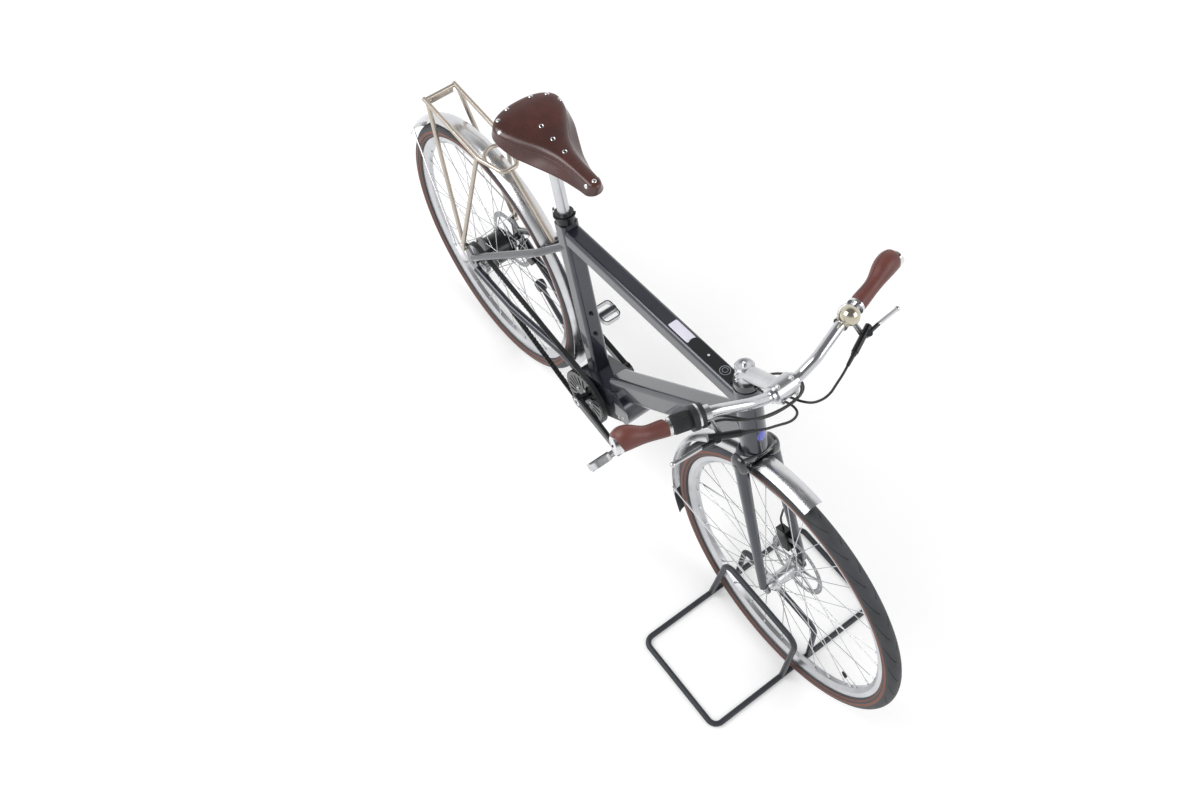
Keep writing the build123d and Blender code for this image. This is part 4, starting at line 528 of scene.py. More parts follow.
def show(name: str, surface: Surface, body: str, finish: Finish,
         replaces: Sequence[str] = (), crease: float = 40.0) -> bpy.types.Object:
    """Make a piece from a surface, merge its doubled points, turn its faces outwards and dress it.

    Args:
        name: name of the piece.
        surface: its points and faces.
        body: CAD body that it rides on.
        finish: its finish.
        replaces: CAD nodes that it stands for.
        crease: angle in degrees past which an edge stays sharp.
    Returns:
        The piece.
    """
    mesh = bpy.data.meshes.new(name)
    mesh.from_pydata(surface.points.tolist(), [], surface.faces.tolist())
    if surface.across is not None:
        mesh.attributes.new("across", "FLOAT", "POINT").data.foreach_set(
            "value", surface.across.astype(np.float32).ravel())
    work = bmesh.new()
    work.from_mesh(mesh)
    bmesh.ops.remove_doubles(work, verts=work.verts, dist=1e-6)
    bmesh.ops.dissolve_degenerate(work, edges=work.edges, dist=1e-7)
    bmesh.ops.recalc_face_normals(work, faces=work.faces)
    work.to_mesh(mesh)
    work.free()
    mesh.shade_smooth()
    mesh.set_sharp_from_angle(angle=math.radians(crease))
    piece = bpy.data.objects.new(name, mesh)
    bpy.context.scene.collection.objects.link(piece)
    mesh.materials.append(finish.material())
    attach(piece, body)
    if replaces:
        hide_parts(*replaces)
    LOG.info("piece %s: %d faces", name, len(mesh.polygons))
    return piece


@dataclass
class Assembly:
    """A sub-assembly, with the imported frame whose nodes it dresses."""

    frame: Mapping[str, Any]

    def dress(self, finish: Finish, *nodes: str) -> None:
        """Give whole CAD nodes one finish.

        Args:
            finish: the finish.
            nodes: names of the nodes.
        """
        for node in nodes:
            materials = self.frame["nodes"][node].data.materials
            materials.clear()
            materials.append(finish.material())
            LOG.info("node %s: %s", node, finish.name)

    def dress_parts(self, node: str, finishes: Sequence[Finish],
                    choose: Callable[[Array, Array], Array]) -> None:
        """Give the faces of a CAD node several finishes by where they lie and which way they face.

        Args:
            node: the CAD node.
            finishes: its finishes.
            choose: turns faces' middles and normals into the numbers of their finishes.
        """
        mesh = self.frame["nodes"][node].data
        mesh.materials.clear()
        for finish in finishes:
            mesh.materials.append(finish.material())
        middles, normals = np.empty((2, len(mesh.polygons) * 3))
        mesh.polygons.foreach_get("center", middles)
        mesh.polygons.foreach_get("normal", normals)
        chosen = choose(middles.reshape(-1, 3), normals.reshape(-1, 3))
        mesh.polygons.foreach_set("material_index", chosen.astype(np.int32))
        mesh.update()
        LOG.info("node %s: %s", node, ", ".join(f.name for f in finishes))


# ---------------------------------------------------------------- camera, light and floor
@dataclass
class Studio:
    """Pale floor, soft light and the camera."""

    eye: tuple[float, float, float] = (1.12477, -1.02119, 3.00813)
    right: tuple[float, float, float] = (0.605130, 0.795801, 0.022786)
    top: tuple[float, float, float] = (-0.698612, 0.517066, 0.494554)
    back: tuple[float, float, float] = (0.381785, -0.315188, 0.868848)
    lens_mm: float = 38.64
    floor_half: float = 30.0
    day: float = 0.62       # strength of the world's light on the object
    ceiling: float = 0.22   # brightness of the ceiling in reflections, where the walls are one
    wall_top: tuple[float, float] = (0.35, 0.85)       # height where a wall starts and stops darkening
    floor_white: tuple[float, float] = (0.27, 0.56)    # the floor's own light, near and far
    floor_span: tuple[float, float] = (1.5, 7.0)       # distances that count as near and far
    key_watts: float = 95.0

    def camera(self) -> None:
        """Place the camera by its own three directions."""
        made = bpy.data.objects.new("camera", bpy.data.cameras.new("camera"))
        made.data.lens = self.lens_mm
        made.data.sensor_width = 36.0
        made.data.clip_end = 100.0
        rows = [(self.right[i], self.top[i], self.back[i], self.eye[i]) for i in range(3)]
        made.matrix_world = Matrix(rows + [(0, 0, 0, 1)])
        bpy.context.scene.collection.objects.link(made)
        bpy.context.scene.camera = made

    def seen(self, tree: Tree) -> Socket:
        """Tell rays from the camera, off a glossy surface or through glass from all others.

        Args:
            tree: nodes of the material or the world.
        Returns:
            One for such a ray, and zero otherwise.
        """
        path = add(tree, "LightPath").node.outputs
        first = add(tree, "Math", {"operation": "MAXIMUM", 0: path["Is Camera Ray"],
                                   1: path["Is Glossy Ray"]})
        return add(tree, "Math", {"operation": "MAXIMUM", 0: first, 1: path["Is Transmission Ray"]})

    def world(self) -> None:
        """Light the object evenly, and show it white walls that darken towards the ceiling."""
        world = bpy.data.worlds.new("studio")
        bpy.context.scene.world = world
        world.use_nodes = True
        tree = world.node_tree
        tree.nodes.clear()
        height = add(tree, "SeparateXYZ", {0: add(tree, "TexCoord", out="Generated")}, 2)
        low, high = self.wall_top
        wall = add(tree, "MapRange", {"interpolation_type": "SMOOTHSTEP", 1: low, 2: high, 3: 1.0,
                                      4: self.ceiling, 0: height})
        camera = add(tree, "LightPath", out="Is Camera Ray")
        plain = add(tree, "Math", {"operation": "MAXIMUM", 0: wall, 1: camera})
        strength = add(tree, "Mix", {"data_type": "FLOAT", 2: self.day, 0: self.seen(tree), 3: plain})
        light = add(tree, "Background", {"Color": (1, 1, 1, 1), "Strength": strength})
        add(tree, "OutputWorld", {0: light})

    def floor(self) -> None:
        """Lay a pale floor that shows white where it is lit and keeps the object's shadow."""
        steps = np.linspace(-self.floor_half, self.floor_half, 9)
        x, y = np.meshgrid(steps, steps, indexing="ij")
        surface = grid(np.stack((x, y, np.zeros_like(x)), -1))
        mesh = bpy.data.meshes.new("floor")
        mesh.from_pydata(surface.points.tolist(), [], surface.faces[:, ::-1].tolist())
        made = bpy.data.objects.new("floor", mesh)
        bpy.context.scene.collection.objects.link(made)
        paint = bpy.data.materials.new("pale_studio_floor")
        paint.use_nodes = True
        tree = paint.node_tree
        tree.nodes.clear()
        matt = add(tree, "BsdfDiffuse", {"Color": (0.80, 0.80, 0.80, 1)})
        # the lamps reach only the middle, so the floor's own white rises with the distance from it
        where = add(tree, "TexCoord", out="Object")
        away = add(tree, "VectorMath", {"operation": "LENGTH", 0: where}, "Value")
        (near, far), (dim, bright) = self.floor_span, self.floor_white
        white = add(tree, "MapRange", {1: near, 2: far, 3: dim, 4: bright, 0: away})
        lift = add(tree, "Math", {"operation": "MULTIPLY", 0: self.seen(tree), 1: white})
        glow = add(tree, "Emission", {"Color": (1, 1, 1, 1), "Strength": lift})
        add(tree, "OutputMaterial", {0: add(tree, "AddShader", {0: matt, 1: glow})})
        mesh.materials.append(paint)

    def lamp(self, name: str, place: Point, size: float, watts: float) -> None:
        """Hang a square soft light that faces the middle of the bike.

        Args:
            name: its name.
            place: its middle.
            size: its side.
            watts: its power.
        """
        light = bpy.data.lights.new(name, "AREA")
        light.size = size
        light.energy = watts
        made = bpy.data.objects.new(name, light)
        back = unit(np.array(place) - np.array((0.0, 0.0, 0.5)))
        side, other = square_to(back)
        rows = [(side[i], other[i], back[i], place[i]) for i in range(3)]
        made.matrix_world = Matrix(rows + [(0, 0, 0, 1)])
        bpy.context.scene.collection.objects.link(made)

    def build(self) -> None:
        """Make the whole studio."""
        bpy.context.scene.view_settings.view_transform = "Standard"
        self.camera()
        self.world()
        self.floor()
        self.lamp("key", (-1.4, -2.2, 3.6), 2.6, self.key_watts)
        self.lamp("fill", (2.6, 1.8, 3.0), 2.2, 0.4 * self.key_watts)


# ---------------------------------------------------------------- hoses and gear cables
# Length of each hose or cable, and its points from the bar to the port under the stem.
ROUTES: Mapping[str, tuple[float, Sequence[Point]]] = {
    "hose_right": (0.2368, (
        (0.4572, -0.1036, 0.9964), (0.4644, -0.0872, 0.9946), (0.4675, -0.066, 0.988),
        (0.474, -0.032, 0.976), (0.464, -0.005, 0.963), (0.444, 0.004, 0.951), (0.422, 0.005, 0.937),
        (0.398, 0.005, 0.916), (0.3775, 0.0047, 0.9012), (0.3567, 0.0028, 0.8942))),
    "hose_left": (0.2333, (
        (0.4536, 0.1177, 0.997), (0.4609, 0.1013, 0.9951), (0.466, 0.084, 0.989), (0.475, 0.056, 0.979),
        (0.467, 0.032, 0.966), (0.446, 0.021, 0.953), (0.422, 0.017, 0.94), (0.397, 0.018, 0.918),
        (0.3731, 0.0196, 0.9014), (0.3533, 0.0152, 0.893))),
    "gear_cable_a": (0.3485, (
        (0.3858, -0.1596, 0.999), (0.3902, -0.1421, 0.9983), (0.406, -0.122, 0.992),
        (0.429, -0.095, 0.983), (0.44, -0.06, 0.973), (0.441, -0.021, 0.963), (0.438, 0.015, 0.955),
        (0.427, 0.046, 0.946), (0.405, 0.061, 0.935), (0.381, 0.062, 0.92), (0.362, 0.057, 0.9055),
        (0.348, 0.0465, 0.8974), (0.337, 0.0315, 0.8895))),
    "gear_cable_b": (0.3281, (
        (0.3998, -0.1596, 1.0035), (0.4042, -0.1421, 1.0028), (0.42, -0.122, 0.998),
        (0.439, -0.082, 0.99), (0.444, -0.04, 0.98), (0.443, -0.004, 0.971), (0.435, 0.029, 0.962),
        (0.416, 0.047, 0.951), (0.394, 0.051, 0.933), (0.377, 0.045, 0.915), (0.3609, 0.036, 0.9006),
        (0.3465, 0.026, 0.891))),
}


@dataclass
class Cables(Assembly):
    """Brake hoses and gear cables from the bar to the ports under the stem."""

    diameter: float = 0.005

    def cord(self, node: str, length: float, points: Sequence[Point]) -> None:
        """Args:
            node: CAD node that it stands for.
            length: its length.
            points: its control points, from where it leaves the bar.
        """
        curve = bpy.data.curves.new(node + "_line", "CURVE")
        curve.dimensions = "3D"
        curve.bevel_depth = self.diameter / 2
        curve.bevel_resolution = 5
        curve.use_fill_caps = True
        line = curve.splines.new("NURBS")
        line.points.add(len(points) - 1)
        line.points.foreach_set("co", np.hstack((np.array(points), np.ones((len(points), 1)))).ravel())
        line.order_u = 3
        line.use_endpoint_u = True
        line.resolution_u = 10
        made = bpy.data.objects.new(node + "_line", curve)
        bpy.context.scene.collection.objects.link(made)
        curve.materials.append(HOSE_RUBBER.material())
        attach(made, "front_fork")
        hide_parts(node)
        LOG.info("cord %s: %.0f mm", node, length / MM)

    def build(self) -> None:
        """Lay every cord."""
        for node, (length, points) in ROUTES.items():
            self.cord(node, length, points)


# ---------------------------------------------------------------- wheels
@dataclass
class Wheel(Assembly):
    """Wheel: tyre with its cuts, wire spokes and nipples, pierced brake disc and valve."""

    end: str                 # front or rear
    flange: tuple[float, float]    # radius and place of the spoke flanges
    rotor_y: float
    hub_finish: Finish
    rim_r: float = 0.316
    rim_depth: float = 0.020
    tyre_r: float = 0.351
    tyre_half: float = 0.020
    spokes: int = 32
    spoke_r: float = 0.001
    cuts: int = 34           # tread cuts round each side of the tyre
    cut_deep: float = 0.0018
    cut_lag: float = 0.045   # how far a cut is swept back
    cross: float = 68.0      # degrees from a spoke's head at the hub to its nipple
    valve_angle: float = 5.79
    rotor_r: float = 0.080
    rotor_holes: int = 36
    rotor_thick: float = 0.0018
    screw_r: float = 0.0175  # radius of the circle of the disc's screws
    castings: tuple[float, float, float] = (0.0335, 0.0455, 0.060)   # rear hub: casting from and to, axle

    @property
    def hub(self) -> Array:
        """Middle of the axle."""
        return centre_of(self.end + "_tyre")

    @property
    def body(self) -> str:
        """CAD body of the wheel."""
        return self.end + "_wheel"

    def tyre(self) -> None:
        """Build the tyre: a circle of 40 mm turned about the axle, with long swept cuts in its tread.

        Rows lag round the wheel by 45 mm times the 1.6th power of the section's angle, so that a
        cut keeps to its own rows: five rows, 3.4 mm across, whose middle three sink by 1.8 mm.
        """
        centre_r = self.tyre_r - self.tyre_half
        seat = math.acos((centre_r - self.rim_r - 0.0003) / self.tyre_half)
        angle = np.linspace(-(math.pi - seat), math.pi - seat, 61)
        pitch = TURN / self.cuts
        cut = np.array((-0.0017, -0.0012, 0.0, 0.0012, 0.0017)) / self.tyre_r
        between = np.linspace(0, pitch / 2, 8)[1:-1]
        part = np.concatenate((cut, between, cut + pitch / 2, between + pitch / 2))
        deep = np.array((0, 1, 1, 1, 0))
        left = np.concatenate((deep, np.zeros(6), np.zeros(5), np.zeros(6)))
        right = np.concatenate((np.zeros(5), np.zeros(6), deep, np.zeros(6)))
        rows = (np.arange(self.cuts)[:, None] * pitch + part).ravel()
        size = np.abs(angle)
        theta = rows[:, None] + (self.cut_lag * size ** 1.6 / self.tyre_r)[None, :]
        lefts, rights = [np.tile(one, self.cuts)[:, None] for one in (left, right)]
        flags = np.where(angle[None, :] > 0, lefts, rights)
        inside = np.clip((size - 0.14) / 0.05, 0, 1) * np.clip((1.16 - size) / 0.15, 0, 1)
        section = self.tyre_half - self.cut_deep * flags * inside[None, :]
        radius = centre_r + section * np.cos(angle)
        x, y, z = self.hub
        points = np.stack((x + radius * np.cos(theta), y + section * np.sin(angle),
                           z + radius * np.sin(theta)), -1)
        surface = grid(points, close_rows=True, close_columns=True)
        surface.across = np.broadcast_to(size / (math.pi - seat), section.shape)
        show(self.end + "_tyre_tread", surface, self.body, TYRE_RUBBER, [self.end + "_tyre"], 50)

    def wires(self) -> None:
        """Build crossed spokes: straight wires from the outsides of the flanges to the rim, each
        with a head at the flange and a nipple at the rim."""
        index = np.arange(self.spokes)
        side = np.where(index % 2, 1, -1)
        trail = np.where((index // 2) % 2, 1, -1)
        rim_angle = index * TURN / self.spokes
        hub_angle = rim_angle + trail * math.radians(self.cross)
        inner, outer = self.flange[0] - 0.002, self.rim_r - self.rim_depth - 0.0003
        lift = 0.0034
        start = np.stack((inner * np.cos(hub_angle), side * (self.flange[1] + lift * trail),
                          inner * np.sin(hub_angle)), -1) + self.hub
        stop = np.stack((outer * np.cos(rim_angle), side * 0.002, outer * np.sin(rim_angle)), -1) + self.hub
        wires, nipples = [], []
        for foot, head in zip(start, stop):
            along = unit(head - foot)
            span = np.linalg.norm(head - foot)
            radius = self.spoke_r
            wires.append(lathe(((0, 0), (0, 1.6 * radius), (0.002, 1.6 * radius), (0.003, radius),
                                (span - 0.012, radius)), foot, along, 10))
            nipples.append(lathe(((span - 0.012, radius), (span - 0.012, 0.0016), (span - 0.004, 0.0018),
                                  (span - 0.003, 0.0024), (span, 0.0024), (span, 0)), foot, along, 8))
        show(self.end + "_spoke_wires", joined(wires), self.body, SPOKE_STEEL,
             [self.end + "_spokes"])
        show(self.end + "_nipples", joined(nipples), self.body, SILVER_ALLOY)

    def ring_of_holes(self, inner: float, outer: float, count: int, hole: float) -> Surface:
        """Build a flat ring pierced by round holes: each cell blends from its hole's circle to the
        cell's own outline, which is the same angle's point on the edge of a rounded sector.

        Args:
            inner: inside radius of the ring.
            outer: outside radius of the ring.
            count: count of holes.
            hole: radius of a hole.
        Returns:
            The ring, about the origin in the plane of X and Z.
        """
        middle, half_r = (inner + outer) / 2, (outer - inner) / 2
        half_t = math.pi / count
        around = np.linspace(0, TURN, 33)[:-1] + TURN / 64
        reach = 1 / np.maximum(np.abs(np.cos(around)), np.abs(np.sin(around)))
        edge_r, edge_t = middle + half_r * reach * np.cos(around), half_t * reach * np.sin(around)
        hole_r, hole_t = middle + hole * np.cos(around), hole * np.sin(around) / middle
        blend = np.linspace(0, 1, 4)[:, None]
        radius = hole_r + blend * (edge_r - hole_r)
        turn = hole_t + blend * (edge_t - hole_t)
        cells = []
        for cell in range(count):
            angle = turn + cell * 2 * half_t
            points = np.stack((radius * np.cos(angle), 0 * angle, radius * np.sin(angle)), -1)
            cells.append(grid(points, close_columns=True))
        return joined(cells)

    def disc(self) -> None:
        """Build the brake disc: a pierced band, six swept arms and a pierced carrier, 1.8 mm thick.

        An arm is a strip whose angle leads by a quarter turn's sine along its length.
        """
        band = self.ring_of_holes(self.rotor_r - 0.013, self.rotor_r, self.rotor_holes, 0.0031)
        carrier = self.ring_of_holes(0.0105, 0.0245, 6, 0.0030)
        surfaces = [band, carrier]
        along = np.linspace(0, 1, 12)[:, None]
        width = np.linspace(-1, 1, 4)[None, :]
        for arm in range(6):
            radius = 0.0235 + along * (self.rotor_r - 0.0355) + 0 * width
            spread = width * (0.0036 - 0.0012 * along) / radius
            lead = arm * TURN / 6 + 0.42 * np.sin(along * TURN / 4) + spread
            surfaces.append(grid(np.stack((radius * np.cos(lead), 0 * radius, radius * np.sin(lead)), -1)))
        plate = joined(surfaces)
        plate.points = plate.points + self.hub + (0, self.rotor_y - self.hub[1], 0)
        finish = Finish(f"ground_stainless_disc_{self.end}", "#b3b4b7", "#8f9194", Grain.TURNED, 0.5,
                        (0.2, 0.42), 0.006, metallic=1.0, slot="rotor_steel",
                        axle=(float(self.hub[0]), float(self.hub[2])))
        piece = show(self.end + "_brake_disc", plate, self.body, finish, [self.end + "_rotor"])
        wall = piece.modifiers.new("thickness", "SOLIDIFY")
        wall.thickness = self.rotor_thick
        wall.offset = 0.0
        spots = [(self.hub + (self.screw_r * math.cos(angle), self.rotor_y + 0.001,
                              self.screw_r * math.sin(angle)), ACROSS)
                 for angle in np.arange(6) * TURN / 6]
        show(self.end + "_disc_screws", socket_screws(spots, 0.0036, 0.0025), self.body, BLACK_ALLOY)

    def valve(self) -> None:
        """Build the valve: a lathe-turned stem through the rim with a black cap."""
        out = np.array((math.cos(self.valve_angle), 0, math.sin(self.valve_angle)))
        foot = self.hub + (self.rim_r - self.rim_depth + 0.002) * out
        inward = unit(self.hub - foot)
        stem = ((0, 0), (0, 0.0042), (0.004, 0.0042), (0.0045, 0.003), (0.026, 0.003))
        cap = ((0.025, 0), (0.025, 0.0038), (0.034, 0.0038), (0.037, 0.003), (0.040, 0.0022), (0.040, 0))
        show(self.end + "_valve", lathe(stem, foot, inward, 20), self.body, CHROME)
        show(self.end + "_valve_cap", lathe(cap, foot, inward, 20), self.body, BLACK_PLASTIC)

    def hub_castings(self, middles: Array, _: Array) -> Array:
        """Tell the bare castings beside the spoke flanges and the axle's ends from the black shell.

        Args:
            middles: the faces' middles.
            _: their normals, which don't count here.
        Returns:
            Whether each face is a bare casting's.
        """
        place = np.abs(middles[:, 1])
        start, stop, axle = self.castings
        return (place > start) & (place < stop) | (place > axle)

    def build(self) -> None:
        """Build and dress the whole wheel."""
        self.dress(SILVER_ALLOY, self.end + "_rim")
        if self.end == "rear":
            self.dress_parts("rear_hub", (self.hub_finish, HUB_CASTING), self.hub_castings)
        else:
            self.dress(self.hub_finish, "front_hub")
        self.tyre()
        self.wires()
        self.disc()
        self.valve()


# ---------------------------------------------------------------- saddle
@dataclass
class Saddle(Assembly):
    """Hide saddle on chromed rails, with rivets and three eyelets."""

    rear: float = -0.4300
    length: float = 0.284
    width: float = 0.174
    top: float = 1.002
    hide_thick: float = 0.003
    crease_deep: float = 0.0008
    eyelets: tuple[float, ...] = (0.317, 0.458, 0.600)                             # shares of the length
    studs: tuple[Point, ...] = ((0.035, 0.030), (0.085, 0.062), (0.175, 0.076))    # share and place across
    nose_studs: tuple[Point, ...] = ((0.945, 0.0), (0.925, 0.0165), (0.925, -0.0165))

    def sections(self, share: Array) -> Array:
        """Give the control points of half sections: crown, shoulder, brow, two on the flared skirt, hem.

        The half width is a smooth curve, closed at the rear by a superellipse and at the nose by a
        quarter circle; the crown rolls down to both ends by quarter circles.

        Args:
            share: places along the saddle, from 0 at the rear to 1 at the nose.
        Returns:
            Places by six by across and up.
        """
        at = np.array((0.0, 0.10, 0.22, 0.35, 0.5, 0.62, 0.75, 0.9, 1.0))
        table = np.array(((0.98, 1.0, 1.0, 0.90, 0.67, 0.49, 0.36, 0.27, 0.24),
                          (-0.0040, 0.0, 0.0, -0.0025, -0.0045, -0.0045, -0.0030, 0.0, 0.0),
                          (0.029, 0.031, 0.034, 0.0375, 0.038, 0.038, 0.034, 0.029, 0.027),
                          (0.94, 0.93, 0.88, 0.74, 0.56, 0.50, 0.54, 0.66, 0.70),
                          (0.006, 0.008, 0.009, 0.010, 0.010, 0.009, 0.008, 0.007, 0.006)))
        fine = np.linspace(0, 1, 301)
        kernel = np.hanning(41)[1:-1] / np.hanning(41).sum()
        wide, high, deep, brow, drop = [
            np.interp(share, fine, np.convolve(np.pad(np.interp(fine, at, row), 19, mode="edge"),
                                               kernel, "valid"))
            for row in table]
        behind = np.clip((0.17 - share) / 0.17, 0, 1)
        ahead = np.clip((share - 0.94) / 0.06, 0, 1)
        half = self.width / 2 * wide * (1 - behind ** 2.4) ** (1 / 2.4) * np.sqrt(1 - ahead ** 2)
        roll = (0.006 * (1 - np.sqrt(1 - np.clip((0.04 - share) / 0.04, 0, 1) ** 2))
                + 0.010 * (1 - np.sqrt(1 - ahead ** 2)))
        crown = self.top + high - roll
        hem = self.top - deep
        brow_z = np.maximum(crown - drop, hem + 0.25 * (crown - hem))
        across = np.stack((0 * half, 0.50 * brow * half, 0.97 * brow * half, (1.03 * brow + 0.02) * half,
                           (0.5 + 0.5 * brow) * half, half), -1)
        up = np.stack((crown, crown, crown + 0.35 * (brow_z - crown), brow_z + 0.18 * (hem - brow_z),
                       brow_z + 0.55 * (hem - brow_z), hem), -1)
        return np.stack((across, up), -1)

    def surface(self, share: Array, across: Array) -> Array:
        """Give points of the hide: cubic B-splines through the control points of each section, with a
        crease pressed 0.8 mm deep along the top of the skirt.

        Args:
            share: place along the saddle, from 0 at the rear to 1 at the nose.
            across: from -1 at the right hem to 1 at the left hem.
        Returns:
            The points.
        """
        size = np.minimum(np.abs(across), 1 - 1e-9)
        knots = np.array((0, 0, 0, 0, 1 / 3, 2 / 3, 1, 1, 1, 1.0))
        basis = [np.where((size >= knots[i]) & (size < knots[i + 1]), 1.0, 0.0) for i in range(9)]
        for degree in (1, 2, 3):
            for i in range(9 - degree):
                first, last = knots[i + degree] - knots[i], knots[i + degree + 1] - knots[i + 1]
                rise = (size - knots[i]) / first * basis[i] if first else 0.0
                fall = (knots[i + degree + 1] - size) / last * basis[i + 1] if last else 0.0
                basis[i] = rise + fall
        weights = np.stack(basis[:6], -1)
        points = np.einsum("...k,...kc->...c", weights, self.sections(share))
        fade = np.clip(share / 0.1, 0, 1) * np.clip((0.92 - share) / 0.1, 0, 1)
        crease = self.crease_deep * fade * np.exp(-((size - 0.60) / 0.016) ** 2)
        return np.stack((self.rear + share * self.length, np.sign(across) * (points[..., 0] - crease),
                         points[..., 1] - crease), -1)

    def cover(self) -> None:
        """Build the hide as one sheet over its length and its width, with its wall inside it."""
        share = (1 - np.cos(np.linspace(0, math.pi, 121))) / 2
        across = np.linspace(-1, 1, 121)
        shares, places = np.meshgrid(share, across, indexing="ij")
        piece = show("saddle_hide", grid(self.surface(shares, places)), "frame", SADDLE_HIDE,
                     ["saddle_leather"], 60)
        top = max(piece.data.polygons, key=lambda face: face.center.z)
        if top.normal.z < 0:
            piece.data.flip_normals()
        wall = piece.modifiers.new("hide_thickness", "SOLIDIFY")
        wall.thickness = self.hide_thick
        wall.offset = -1.0

    def stud(self, share: float, y: float, profile: Sequence[tuple[float, float]]) -> Surface:
        """Turn a profile about the hide's own normal.

        Args:
            share: place along the saddle, from 0 at the rear to 1 at the nose.
            y: place across it, positive to the left.
            profile: height and radius of each ring.
        Returns:
            The turned surface.
        """
        steps = np.linspace(0, 0.75, 200)
        line = self.surface(np.full(200, share), steps)
        across = float(np.interp(abs(y), line[:, 1], steps)) * (1 if y >= 0 else -1)
        here = self.surface(np.array([share]), np.array([across + 1e-6]))[0]
        ahead = self.surface(np.array([share + 0.004]), np.array([across + 1e-6]))[0]
        beside = self.surface(np.array([share]), np.array([across + 0.004]))[0]
        normal = unit(np.cross(ahead - here, beside - here))
        return lathe(profile, here, normal if normal[2] > 0 else -normal, 24)

    def rivets(self) -> None:
        """Build domed rivets, three pairs behind and three at the nose, and three eyelets with black discs in
        their holes as painted shade.
        """
        dome = ((-0.002, 0), (-0.002, 0.0050), (0.0004, 0.0050), (0.0013, 0.0042), (0.0018, 0.0025),
                (0.0020, 0))
        domes = [self.stud(share, side * y, dome) for share, y in self.studs for side in (1, -1)]
        domes += [self.stud(share, y, dome) for share, y in self.nose_studs]
        show("saddle_rivets", joined(domes), "frame", CHROME)
        ring = ((-0.001, 0.0028), (-0.001, 0.0050), (0.0006, 0.0050), (0.0010, 0.0042), (0.0004, 0.0032),
                (-0.001, 0.0028))
        rings = [self.stud(share, 0.0, ring) for share in self.eyelets]
        show("saddle_eyelets", joined(rings), "frame", CHROME)
        # black discs in the eyelets' holes: painted shade, since a hole shows only shade
        hole_shades = [self.stud(share, 0.0, peg(0.0031, -0.001, 0.0003)) for share in self.eyelets]
        show("saddle_eyelet_hole_shade", joined(hole_shades), "frame", BLACK_PLASTIC)

    def build(self) -> None:
        """Build and dress the saddle."""
        self.dress(CHROME, "saddle_frame")
        self.dress(SILVER_ALLOY, "seatpost")
        self.dress(BLACK_ALLOY, "seat_clamp")
        self.cover()
        self.rivets()


